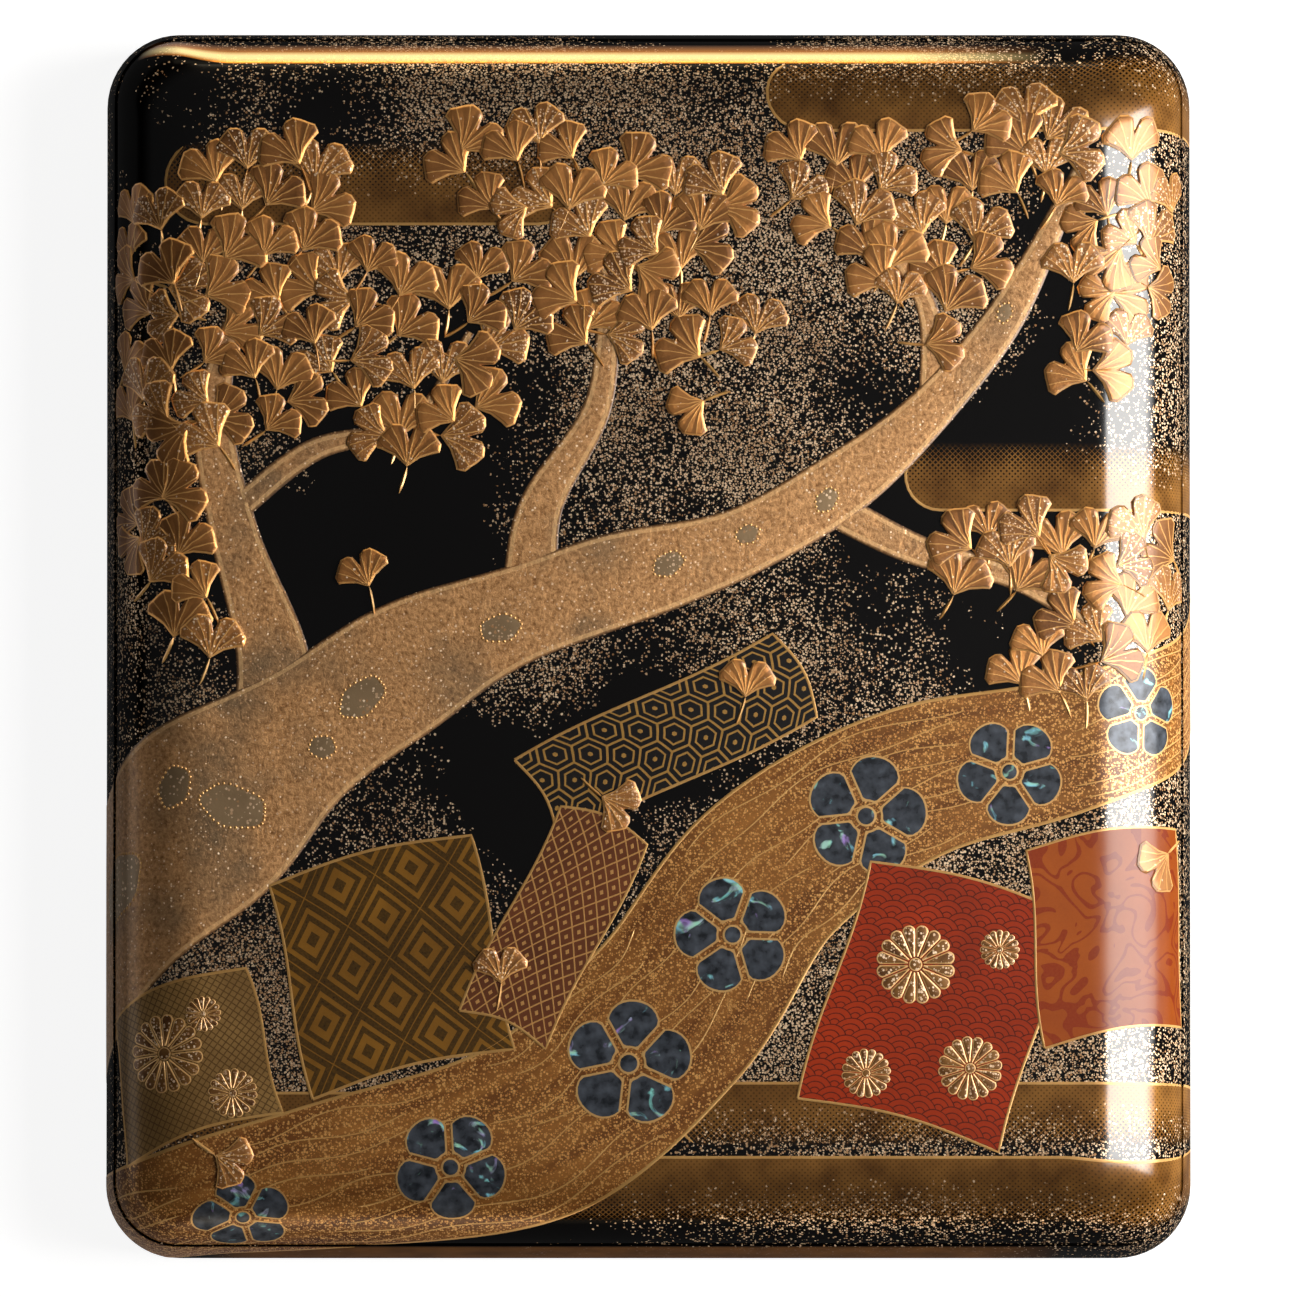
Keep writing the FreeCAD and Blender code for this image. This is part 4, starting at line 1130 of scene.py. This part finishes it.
def strewn(name, grids, places, material):
    """Sets a motif at each place (x, y, height, turn, size, tone) of the flattened decoration."""
    places = np.array(places, float)
    motif = motif_object(name + "_motif", grids)
    mesh = new_mesh(name + "_points", places[:, :3], [])
    for column, attribute in ((3, "turn"), (4, "size"), (5, "tone")):
        give(mesh, attribute, "FLOAT", places[:, column])
    flat = grown(mesh, STREWING, {"Motif": motif, "Finish": material})
    points, patterns = read(flat, "position", 3), read(flat, "pattern", 3)
    raised, tones = read(flat, "foot", 1)[:, 0] < 0.5, read(flat, "tone", 1)
    faces = [tuple(face.vertices) for face in flat.polygons]
    bpy.data.objects.remove(motif)
    bpy.data.meshes.remove(flat)
    core, facings, reach = from_top_edge(points[:, :2])
    laid = core + facings * (np.clip(reach, *ZONES[0]) + ROLL_CORNER_R)[:, None]
    height = np.where(raised, points[:, 2], RELIEF_FOOT)
    finish_relief(name, on_lid(laid, height), faces, patterns, tones, material)


def leaf_finish(name, light, dark, glitter, roughness):
    """Gold dusted over a leaf, with a painted highlight along its rim, and thin bright veins that run out
    from the stalk.
    """
    material, place = new_material(name)
    turn, edge, radius = parts(stored(material, "pattern", "Vector"))
    aside = off_middle(turn * VEINS)
    veins = aside * (radius * (math.radians(LEAF_SPREAD_DEG) / VEINS)) < 0.13
    lines = most(veins * 0.8, edge < 0.32)
    fine = noise(place, 0.6 * MM, 3.0)
    shade = cloud(place, 9.0 * MM, 0.3, 0.7, 0.4) + fine * 0.25 + stored(material, "tone", "Fac") * 0.6
    colour = mixed(maths("MINIMUM", shade, 1.0), dark, light)
    colour, _ = dusted(place, colour, GOLD, 0.5 * MM, 0.45, glitter)
    # The rim part of these lines is a painted highlight round every leaf's edge; the veins are drawn gold.
    colour = mixed(lines * 0.85, colour, tint(226, 168, 98))
    rise = (edge / 0.5).clamped() * 2.2 + fine * 0.45 + veins * 0.6 - aside * 1.1
    return satin(material, place, 0.62, Base_Color=colour, Roughness=roughness, Normal=bump(rise, 0.8, 0.16))


def leaf_places():
    """Where the leaves lie, which way each points, and its layer, so that neighbours never share one."""
    draw = np.random.default_rng(14)
    spots = []
    for x, y, wide, deep, count in CLUSTERS:
        placed = 0
        tries = 0
        while placed < count and tries < MOST_TRIES:
            tries += 1
            angle, share = draw.uniform(0, 2 * math.pi), math.sqrt(draw.uniform(0, 1))
            spot = np.array([x + wide * share * math.cos(angle), y + deep * share * math.sin(angle)])
            if all(math.dist(spot, other[:2]) > LEAF_SPACING for other in spots):
                placed += 1
                turn = math.atan2(-(spot[0] - x), spot[1] - y + 14.0) + draw.normal(0, 0.7)
                spots.append((*spot, turn, draw.uniform(0.86, 1.12), draw.uniform(0, 1)))
    for x, y in LOOSE:
        spots.append((x, y, draw.uniform(-3, 3), draw.uniform(0.85, 1.0), draw.uniform(0.3, 1)))
    layers = []
    for i, spot in enumerate(spots):
        below = [(layers[j], math.dist(spot[:2], spots[j][:2])) for j in range(i)]
        gaps = [min([gap for layer, gap in below if layer == k], default=99.0) for k in range(LAYERS)]
        far = [k for k in range(LAYERS) if gaps[k] > LAYER_SPACING] or [int(np.argmax(gaps))]
        layers.append(LAYERS - 1 if tuple(spot[:2]) in LOOSE else int(draw.choice(far)))
    places = []
    for (x, y, turn, size, tone), layer in zip(spots, layers):
        stalk = np.array([math.sin(turn), -math.cos(turn)]) * LEAF_R * size * 0.5
        places.append((x + stalk[0], y + stalk[1], LEAF_LIFT + LAYER * layer, turn, size, tone))
    return places


def make_leaves():
    places = leaf_places()
    smooth = leaf_finish("smooth gold leaf", tint(176, 118, 62), tint(86, 49, 20), 0.03, 0.38)
    bright = leaf_finish("glittering gold leaf", tint(160, 107, 57), tint(76, 44, 19), 0.6, 0.42)
    strewn("leaves_smooth", [leaf_grid()], [p for i, p in enumerate(places) if i % 3], smooth)
    strewn("leaves_glittering", [leaf_grid()], [p for i, p in enumerate(places) if not i % 3], bright)
    stalks = []
    for x, y, height, turn, size, tone in places:
        start = np.array([x, y])
        way = np.array([math.sin(turn), -math.cos(turn)])
        bend = np.array([way[1], -way[0]]) * 1.2
        knots = [start, start + way * 2.6 + bend * 0.4, start + way * 5.4 + bend]
        stalks.append(stroke(smooth_line(knots, 0.9), 0.6, height + 0.02, tone))
    relief("leaf_stalks", stalks, BRIGHT_GOLD)


make_leaves()


# The lichen. Patches of silver dust lie on the bough, each ringed with a row of tiny gold beads.
LICHEN_RISE = 0.05
BEAD_STEP = 0.95
BEAD_R = 0.3
BEAD_RISE = 0.14
# Middle, half length, half width and turn of each patch in the flattened decoration
LICHENS = (
    (-112.0, -50.0, 9.0, 5.5, 0.6), (-96.0, -30.0, 4.2, 3.0, 1.2), (-84.0, -34.0, 6.5, 4.0, -0.3),
    (-58.0, -12.0, 5.0, 3.2, 0.7), (-66.0, -22.0, 2.6, 2.2, 0.0), (-30.0, 2.0, 4.0, 2.6, 0.2),
    (4.0, 15.0, 3.2, 2.2, 0.5), (36.0, 28.0, 2.6, 1.9, 0.9), (72.0, 66.0, 2.0, 1.4, 1.2),
    (20.0, 21.0, 2.4, 1.8, 0.4),
)


def square(wide, deep):
    """Places over a square from -1 to 1, as a grid."""
    return np.meshgrid(np.linspace(-1.0, 1.0, wide), np.linspace(-1.0, 1.0, deep), indexing="ij")


def round_grid(steps):
    """A disc as a square grid, from -1 to 1."""
    across, along = square(steps, steps)
    return across * np.sqrt(1 - along**2 / 2), along * np.sqrt(1 - across**2 / 2)


def headings(turn):
    """The ways ahead and to the left of a turn."""
    ahead = np.array([math.cos(turn), math.sin(turn)])
    return ahead, np.array([-ahead[1], ahead[0]])


def make_lichen():
    silver = gold_relief("silver patch", tint(172, 144, 108), tint(108, 86, 60), 0.42, 0.35)
    patches, beads = [], []
    for x, y, long, wide, turn in LICHENS:
        ahead, aside = headings(turn)
        across, along = round_grid(21)
        lumps = 1 + 0.05 * np.sin(5 * np.arctan2(along, across) + x) * np.hypot(across, along)
        over, up = across * lumps * long, along * lumps * wide
        grid = np.array([x, y]) + over[..., None] * ahead + up[..., None] * aside
        dome = np.sqrt(np.maximum(1.02 - across**2 - along**2, 0.0))
        patches.append(laid_patch(grid, BARK_HEIGHT + LICHEN_RISE * dome))
        count = int(math.pi * (long + wide) / BEAD_STEP)
        for angle in np.arange(count) * 2 * math.pi / count:
            lump = 1.05 + 0.05 * math.sin(5 * angle + x)
            spot = np.array([x, y]) + ahead * math.cos(angle) * long * lump
            beads.append((*(spot + aside * math.sin(angle) * wide * lump), BARK_HEIGHT, 0.0, 1.0, 0.5))
    relief("lichen", patches, silver)
    x, y = round_grid(5)
    bead = (x * BEAD_R, y * BEAD_R, BEAD_RISE * np.sqrt(np.maximum(1 - x**2 - y**2, 0.0)), x, y, 0.0)
    beads = np.array(beads)
    above_groove = from_top_edge(beads[:, :2])[2] < ROLL_END - 2 * BEAD_R
    strewn("lichen_beads", [bead], beads[above_groove], BRIGHT_GOLD)


make_lichen()


# The sheets of paper. Six patterned sheets lie on both banks, in red, orange, olive, black, brown and
# gold lacquer. Their patterns are old common ones, drawn with dark or gold lines; each has a gold edge.
PAPER_STEP = 1.5


def either(mask, one, other):
    return mask * one + (1.0 - mask) * other


def lines_at(cells, *lines):
    """Lines where the cells' value is near the middle of one of the lines."""
    return most(*[near(cells, middle, reach) for middle, reach in lines])


def red_waves(flat):
    """Overlapping round waves, each with rings round its own middle."""
    radius = 3.6 * MM
    x, y, _ = parts(flat)
    rows = y / (radius / 2)
    row = maths("FLOOR", rows)
    low = (rows - row) * 0.5
    here = 1.0 - off_middle(x * (0.5 / radius) + row * 0.5) * 2.0
    front = distance(1.0 - here, low + 0.5)
    far = either(front < 1.0, front, distance(here, low))
    return lines_at(maths("FRACT", far * 3.0), (0.9, 0.1))


def nested_lozenges(flat):
    return lines_at(lozenges(flat, 15.0 * MM, 17.0 * MM), (0.44, 0.05), (0.27, 0.045), (0.0, 0.1))


def dotted_lattice(flat):
    return lines_at(lozenges(flat, 3.4 * MM, 4.6 * MM), (0.5, 0.05), (0.0, 0.13))


def plain_weave(flat):
    return lines_at(lozenges(flat, 1.7 * MM, 1.7 * MM), (0.5, 0.1))


def shell_cells(flat):
    """Six-sided cells, as on a tortoise's shell: zero in the middle of each, a half at its edge."""
    x, y, _ = parts(flat)
    size = 6.4 * MM
    tall = math.sqrt(3.0)
    squares, fars = [], []
    for shift in (0.0, 0.5):
        over = off_middle(x / size + shift)
        up = off_middle(y / (size * tall) + shift) * tall
        squares.append(over * over + up * up)
        fars.append(most(over, up * (tall / 2) + over * 0.5))
    return lines_at(either(squares[0] < squares[1], *fars), (0.5, 0.035), (0.3, 0.03), (0.0, 0.07))


def floated_ink(flat):
    """Marbled swirls, as ink floated on water leaves on paper."""
    return lines_at(maths("FRACT", noise(flat, 11.0 * MM, 1.5, Distortion=0.9) * 8.0), (0.5, 0.17))


def paper_finish(name, pattern, light, dark, line, metal, line_metal):
    """Coloured lacquer, a little worn and clouded, with its pattern in thin raised lines."""
    material, place = new_material(name)
    fine = noise(place, 0.45 * MM, 3.0)
    ground = mixed(fine * 0.4 + cloud(place, 12.0 * MM, 0.3, 0.7) * 0.6, dark, light)
    drawn = pattern(stored(material, "pattern", "Vector"))
    colour = mixed(drawn * (1.1 - fine * 0.55).clamped(), ground, line)
    shine = drawn * (line_metal - metal) + metal
    raised = bump(fine * 0.3 + drawn, 0.5, 0.06)
    return satin(material, place, shine, Base_Color=colour, Roughness=fine * 0.2 + 0.3, Normal=raised)


# Name, middle, width, depth, turn in degrees, height, and the finish's pattern and colours
PAPERS = (
    ("red_sheet", 58.0, -74.0, 42.0, 50.0, -15.0, 0.24,
     red_waves, (148, 42, 7), (112, 30, 5), (60, 18, 5), 0.0, 0.2),
    ("orange_sheet", 95.0, -60.0, 34.0, 40.0, 8.0, 0.31,
     floated_ink, (146, 72, 18), (124, 53, 13), (114, 36, 10), 0.0, 0.0),
    ("black_sheet", 4.0, -20.0, 19.0, 58.0, -62.0, 0.2,
     shell_cells, (24, 20, 18), (12, 10, 10), (176, 132, 66), 0.0, 0.6),
    ("olive_sheet", -52.0, -66.0, 42.0, 44.0, 14.0, 0.18,
     nested_lozenges, (140, 96, 30), (100, 66, 20), (40, 28, 8), 0.3, 0.1),
    ("brown_sheet", -19.0, -58.0, 19.0, 46.0, -24.0, 0.26,
     dotted_lattice, (100, 54, 28), (68, 36, 20), (196, 146, 84), 0.1, 0.6),
    ("gold_sheet", -94.0, -86.0, 34.0, 30.0, 18.0, 0.18,
     plain_weave, (158, 122, 70), (114, 84, 44), (84, 58, 28), 0.5, 0.5),
)


def sheet_grid(x, y, width, depth, turn):
    """Places of a turned sheet whose sides bow a little, and each place within the sheet."""
    across, along = square(int(width / PAPER_STEP), int(depth / PAPER_STEP))
    flat = np.stack([across * width / 2, along * depth / 2], axis=-1)
    bowed = flat + np.stack([np.sin(along * 2.2) * 1.2, np.cos(across * 2.0) * 1.4], axis=-1)
    ahead, aside = headings(math.radians(turn))
    return np.array([x, y]) + bowed[..., :1] * ahead + bowed[..., 1:] * aside, flat


def make_papers():
    edges = []
    for name, x, y, width, depth, turn, height, pattern, light, dark, line, metal, line_metal in PAPERS:
        colours = [tint(*colour) for colour in (light, dark, line)]
        finish = paper_finish(name.replace("_", " "), pattern, *colours, metal, line_metal)
        grid, flat = sheet_grid(x, y, width, depth, turn)
        relief(name, [laid_patch(grid, height, pattern=flat)], finish)
        rim = grid_rim(grid)
        band_grid, _ = ribbon(np.vstack([rim, rim[:1]]), 0.6, 3)
        edges.append(laid_patch(band_grid, (height + 0.04) * np.array([0.8, 1.0, 0.8])))
    relief("sheet_edges", edges, BRIGHT_GOLD)


make_papers()


# The flowers. Plum blossoms of dark mother-of-pearl are set into the stream, each petal cut from shell
# and edged with gold. Raised gold chrysanthemums lie on the red and the gold sheet.
SHELL_GAP = 0.9
SHELL_RISE = 0.1
BLOSSOM_R = 11
CREST_LIFT = 0.23
# Middle, radius and turn of each blossom and chrysanthemum in the flattened decoration
BLOSSOMS = (
    (100.0, -15.0, 9.5, 0.3), (73.0, -27.0, 11.0, 0.9), (44.0, -36.0, 12.5, 0.1), (17.0, -60.0, 12.0, 0.6),
    (-4.0, -86.0, 13.0, 0.2), (-40.0, -107.0, 11.5, 1.0), (-82.0, -118.0, 10.0, 0.5),
)
CRESTS = (
    (54.0, -66.0, 8.0, 0.2), (65.0, -87.0, 6.5, 0.5), (44.0, -88.0, 5.0, 0.9), (71.0, -63.0, 4.0, 0.0),
    (-98.0, -84.0, 8.0, 0.3), (-84.0, -92.0, 5.0, 0.7), (-90.0, -76.0, 3.6, 0.1),
)


def petal_grid(count, index, gap, inner, bulge, rise, dome):
    """One petal of a round flower: its pattern holds the distance to its rim and to the middle."""
    shares = np.linspace(0.0, 1.0, 9)
    turns = np.linspace(-1.0, 1.0, 13)[:, None]
    outer = 1 - bulge * np.abs(turns) ** 2.4
    reach = inner + (outer - inner) * shares
    half = math.pi / count - gap / (2 * reach)
    angle = turns * half + 2 * math.pi * index / count
    edge = np.minimum((1 - np.abs(turns)) * half * reach, (1 - shares) * (outer - inner))
    edge = np.minimum(edge, shares * (outer - inner))
    height = rise + dome * np.sqrt(1 - turns**2) * np.sqrt(np.maximum(1 - shares**4, 0.0))
    return reach * np.cos(angle), reach * np.sin(angle), height, edge, reach, float(index)


def disc_grid(radius, rise):
    x, y = round_grid(7)
    far = np.hypot(x, y)
    return x * radius, y * radius, rise * (1 - 0.4 * far**2), (1 - far) * radius, far * radius, 0.0


def shell_finish():
    """Dark mother-of-pearl: blue-black, with flashes of cyan, green and violet, and a gold rim."""
    material, place = new_material("mother-of-pearl")
    rim = parts(stored(material, "pattern", "Vector"))[0] < 0.38
    flash = ramp(noise(place, 5.0 * MM, 4.0, Distortion=1.2), 0.6, 0.7)
    hues = add_node(place.tree, "ShaderNodeValToRGB", {"Fac": noise(place, 9.0 * MM, 1.0, Distortion=2.0)})
    stops = hues.color_ramp.elements
    stops[0].position, stops[0].color = 0.32, tint(150, 236, 226)
    stops[1].position, stops[1].color = 0.68, tint(186, 150, 232)
    stops.new(0.46).color = tint(150, 220, 246)
    stops.new(0.54).color = tint(176, 240, 206)
    ground = mixed(cloud(place, 2.2 * MM, 0.3, 0.8), tint(20, 24, 30), tint(88, 94, 104))
    colour = mixed(rim, mixed(flash, ground, Value(hues, "Color")), tint(214, 168, 104))
    return satin(material, place, rim * 0.3 + 0.45, 0.6, Base_Color=colour, Roughness=rim * 0.1 + 0.24)


def crest_finish():
    """Dark gold that glitters, with a painted highlight along the rim of each petal."""
    material, place = new_material("chrysanthemum gold")
    rim = parts(stored(material, "pattern", "Vector"))[0] < 0.03
    ground = mixed(cloud(place, 3.0 * MM, 0.3, 0.7), tint(84, 50, 22), tint(134, 92, 46))
    colour, _ = dusted(place, ground, GOLD, 0.5 * MM, 0.5, 0.5)
    # Painted highlight along each petal's rim.
    colour = mixed(rim * 0.9, colour, tint(224, 176, 112))
    return satin(material, place, 0.6, Base_Color=colour, Roughness=0.4)


def make_flowers():
    petals = [petal_grid(5, i, SHELL_GAP / BLOSSOM_R, 0.24, 0.24, SHELL_RISE, 0.0) for i in range(5)]
    petals.append(disc_grid(0.17, SHELL_RISE))
    petals = [(x, y, height, edge * BLOSSOM_R, *rest) for x, y, height, edge, *rest in petals]
    places = [(x, y, STREAM_HEIGHT, turn, radius, 0.5) for x, y, radius, turn in BLOSSOMS]
    strewn("shell_blossoms", petals, places, shell_finish())
    rays = [petal_grid(16, i, 0.03, 0.2, 0.1, 0.06, 0.12) for i in range(16)] + [disc_grid(0.17, 0.16)]
    places = [(x, y, CREST_LIFT, turn, radius, 0.5) for x, y, radius, turn in CRESTS]
    strewn("chrysanthemums", rays, places, crest_finish())


make_flowers()


# The board and the trays. Thin wood, lacquered and thickly sprinkled, with gold rims. The board has
# cut-outs for the ink stone and the dropper; each tray holds two rest bars that are glued in.
TRAY_TOP = 20.0
RIM_BAND = 0.7


def tray_finish():
    """Thickly sprinkled lacquer with a gold rim."""
    material, place = new_material("tray lacquer")
    patchy = cloud(place, 14.0 * MM, 0.3, 0.7, 0.5)
    ground = mixed(patchy, tint(44, 18, 9), tint(78, 38, 15))
    colour, grains = dusted(place, ground, tint(200, 146, 78), 0.6 * MM, 0.48, patchy + 0.4)
    rim = parts(place)[2] > (TRAY_TOP - RIM_BAND) * MM
    colour = mixed(rim, colour, mixed(patchy, tint(196, 146, 82), tint(224, 178, 110)))
    rough = most(grains, rim) * 0.14 + 0.16
    feed(material, Base_Color=colour, Metallic=most(grains * 0.55, rim * 0.85), Roughness=rough)
    return feed(material, Coat_Weight=0.3, Coat_Roughness=0.08)


def board_finish():
    """Black lacquer with drifts of gold grains and a sprinkled mist to both ends."""
    material, place = new_material("board lacquer")
    ends = ramp(abs(parts(place)[1]), 84.0 * MM, 116.0 * MM)
    density = most(cloud(place, 40.0 * MM, 0.4, 0.65, 0.75), ends)
    colour, grains = dusted(place, tint(9, 7, 7), GOLD, 0.58 * MM, 0.42, density)
    feed(material, Base_Color=colour, Metallic=grains * 0.7, Roughness=grains * 0.3 + 0.09)
    return feed(material, Coat_Weight=0.6, Coat_Roughness=0.05)


def dress(nodes, material):
    """Gives CAD nodes their finish."""
    for name in nodes:
        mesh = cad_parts[name].data
        mesh.materials.clear()
        mesh.materials.append(material)


dress(["inkstone_board"], board_finish())
bars = ["brush_rest_far", "brush_rest_near", "tool_rest_far", "tool_rest_near"]
dress(["brush_tray", "tool_tray", *bars], tray_finish())


# The ink stone. One block of slate is cut to a raised rim, a land for grinding and a well at its far
# end, and honed. Dried ink darkens the well and the middle of the land.
STONE_LAND = 18.8


def slate():
    material, place = new_material("slate")
    beds = stretched(place, (1.0, 0.25, 3.0), (0.2, 0.3, 0.5))
    colour = mixed(noise(beds, 9.0 * MM, 6.0), tint(34, 35, 40), tint(66, 66, 70))
    sunk = 1.0 - (parts(place)[2] > (STONE_LAND + 0.05) * MM)
    used = sunk * cloud(place, 26.0 * MM, 0.35, 0.6, 0.8)
    colour = mixed(used, colour, tint(16, 15, 17))
    raised = bump(noise(place, 0.4 * MM), 0.3, 0.08)
    return feed(material, Base_Color=colour, Roughness=0.5 - used * 0.18, Normal=raised)


dress(["inkstone"], slate())


# The water dropper. It is a small flat bottle of silvered copper, joined at its waist, with a spout
# and a ring round the air hole. Its top is chased with rays round the hole.
DROPPER_Y = 69.15
RAYS = 24.0


def chased_silver():
    material, place = new_material("chased silver")
    x, y, _ = parts(place)
    up = y - DROPPER_Y * MM
    far = distance(x, up)
    ray = abs(maths("SINE", maths("ARCTAN2", up, x) * (RAYS / 2)))
    cut = (1.0 - ray * 4.0).clamped() * near(far, 11.5 * MM, 4.5 * MM)
    cut = most(cut, near(far, 16.6 * MM, 0.35 * MM))
    tarnish = cloud(place, 9.0 * MM, 0.35, 0.7, 0.7)
    colour = mixed(tarnish, tint(206, 202, 194), tint(132, 122, 108))
    colour = mixed(cut * 0.7, colour, tint(56, 50, 44))
    feed(material, Base_Color=colour, Metallic=0.95, Roughness=tarnish * 0.25 + 0.2)
    return feed(material, Normal=bump(cut, 0.6, 0.2, invert=True))


def gilt():
    material, place = new_material("gilt metal")
    worn = cloud(place, 4.0 * MM, 0.4, 0.75, 0.6)
    colour = mixed(worn, tint(226, 178, 104), tint(166, 116, 66))
    return feed(material, Base_Color=colour, Metallic=0.95, Roughness=worn * 0.2 + 0.2)


GILT = gilt()
dress(["dropper_bowl", "dropper_top"], chased_silver())
dress(["dropper_spout", "dropper_air_ring"], GILT)


# The brushes. Each has a lacquered handle with a knob, a gilt collar, and a cap over its hair. The hair
# is a bundle of tapered strands bound into the collar, with a full belly and a fine tip.
BRUSH_XS = (-82.8, -63.6)
AXIS_HEIGHT = 14.45
HAIR_ROOT_Y = 41.5
HAIR_TIP_Y = 77.5
HAIR_ROOT_R = 2.9
STRANDS = 380
STRAND_R = 0.13
GOLDEN_TURN = 2.39996


def tool_lacquer(name, dark, light):
    """Handle lacquer: dark, with clouds of gold grains."""
    material, place = new_material(name)
    ground = mixed(cloud(place, 5.0 * MM, 0.3, 0.7), dark, light)
    colour, grains = dusted(place, ground, GOLD, 0.5 * MM, 0.42, cloud(place, 16.0 * MM, 0.36, 0.66, 0.85))
    feed(material, Base_Color=colour, Metallic=grains * 0.7, Roughness=grains * 0.25 + 0.12)
    return feed(material, Coat_Weight=0.5, Coat_Roughness=0.06)


def bamboo():
    """Polished bamboo for the caps: long fibres along the brush."""
    material, place = new_material("bamboo")
    fibres = noise(stretched(place, (1.0, 0.03, 1.0)), 0.5 * MM, 3.0)
    colour = mixed(fibres, tint(150, 104, 56), tint(206, 164, 104))
    colour = mixed(cloud(place, 8.0 * MM, 0.45, 0.75, 0.7), colour, tint(112, 66, 32))
    return feed(material, Base_Color=colour, Roughness=0.34, Normal=bump(fibres, 0.25, 0.1), Coat_Weight=0.3)


def hair_finish():
    material, place = new_material("brush hair")
    tip = ramp(parts(place)[1], 62.0 * MM, HAIR_TIP_Y * MM)
    colour = mixed(noise(place, 0.6 * MM), tint(196, 166, 124), tint(232, 212, 178))
    return feed(material, Base_Color=mixed(tip * 0.8, colour, tint(92, 62, 38)), Roughness=0.6)


def bristle_tree():
    """Geometry nodes that give each path of an edge mesh a thin tapered round body."""
    inputs = {"Paths": "Geometry", "Strand radius": "Float", "Finish": "Material"}
    tree, given, result = new_tree("bristles", "GeometryNodeTree", inputs, {"Bristles": "Geometry"})
    paths, radius, finish = given
    curves = Value(add_node(tree, "GeometryNodeMeshToCurve", {"Mesh": paths}))
    ring = Value(add_node(tree, "GeometryNodeCurvePrimitiveCircle", {"Resolution": 4, "Radius": radius}))
    inputs = {"Curve": curves, "Profile Curve": ring, "Scale": point_value(tree, "thin"), "Fill Caps": True}
    return finished(tree, Value(add_node(tree, "GeometryNodeCurveToMesh", inputs)), finish, result)


BRISTLES = bristle_tree()


def strand_paths(x, seed):
    """Paths from the collar over the belly to the tip, and how thick each is along its way."""
    draw = np.random.default_rng(seed)
    shares = np.array([0.0, 0.12, 0.28, 0.45, 0.62, 0.78, 0.9, 1.0])
    swell = np.array([1.0, 1.06, 1.12, 1.08, 0.86, 0.54, 0.26, 0.03])
    points, edges, thin = [], [], []
    for index in range(STRANDS):
        away = HAIR_ROOT_R * math.sqrt((index + 0.5) / STRANDS)
        angle = index * GOLDEN_TURN + draw.normal(0, 0.06)
        length = (HAIR_TIP_Y - HAIR_ROOT_Y) * (1 - 0.16 * (away / HAIR_ROOT_R) ** 2 * draw.uniform(0, 1))
        first = len(points)
        for share, wide in zip(shares, swell):
            reach = away * wide + draw.normal(0, 0.03) * share
            over, up = reach * math.cos(angle), reach * math.sin(angle)
            place = (x + over, HAIR_ROOT_Y + share * length, AXIS_HEIGHT + up)
            points.append(tuple(value * MM for value in place))
            thin.append(1.0 - 0.75 * share**2)
        edges += [(first + i, first + i + 1) for i in range(len(shares) - 1)]
    return points, edges, thin


def make_hair(number, x, finish):
    points, edges, thin = strand_paths(x, 40 + number)
    paths = bpy.data.meshes.new("paths")
    paths.from_pydata(points, edges, [])
    give(paths, "thin", "FLOAT", thin)
    bristles = grown(paths, BRISTLES, {"Strand radius": STRAND_R * MM, "Finish": finish})
    hair = set_down(f"hair_{number}", bristles)
    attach(hair, f"brush_{number}")
    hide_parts(f"brush_{number}_hair")


HANDLE_LACQUER = tool_lacquer("handle lacquer", tint(10, 7, 7), tint(26, 12, 9))
BAMBOO = bamboo()
HAIR = hair_finish()
for number, x in enumerate(BRUSH_XS, 1):
    dress([f"brush_{number}_handle"], HANDLE_LACQUER)
    dress([f"brush_{number}_knob", f"brush_{number}_collar"], GILT)
    dress([f"brush_{number}_cap"], BAMBOO)
    make_hair(number, x, HAIR)


# The knife and the awl. Each has a lacquered handle, a gilt collar, a steel blade or spike, and a
# sheath of red-brown lacquer that slides over it.
def forged_steel():
    material, place = new_material("steel")
    scratches = noise(stretched(place, (0.05, 1.0, 1.0)), 0.25 * MM)
    colour = mixed(scratches, tint(150, 152, 156), tint(196, 198, 202))
    return feed(material, Base_Color=colour, Metallic=1.0, Roughness=scratches * 0.25 + 0.16)


SHEATH_LACQUER = tool_lacquer("sheath lacquer", tint(62, 18, 10), tint(96, 30, 14))
dress(["knife_handle", "awl_handle"], HANDLE_LACQUER)
dress(["knife_sheath", "awl_sheath"], SHEATH_LACQUER)
dress(["knife_collar", "awl_collar"], GILT)
dress(["knife_blade", "awl_spike"], forged_steel())


# The ink. The stick is soot and glue pressed in a mould, matt black with gilded bands. It stands in a
# lacquered holder with a gilt band at its mouth.
def pressed_ink():
    material, place = new_material("pressed ink")
    bands = lines_at(parts(place)[1], (43.0 * MM, 0.5 * MM), (21.0 * MM, 0.5 * MM))
    fine = noise(place, 0.7 * MM, 3.0)
    colour = mixed(bands, mixed(fine, tint(20, 19, 22), tint(38, 36, 40)), tint(200, 152, 82))
    feed(material, Base_Color=colour, Metallic=bands * 0.8, Roughness=0.5 - bands * 0.15)
    return feed(material, Normal=bump(fine, 0.3, 0.1))


dress(["ink_stick"], pressed_ink())
dress(["ink_holder"], SHEATH_LACQUER)
dress(["ink_holder_band"], GILT)
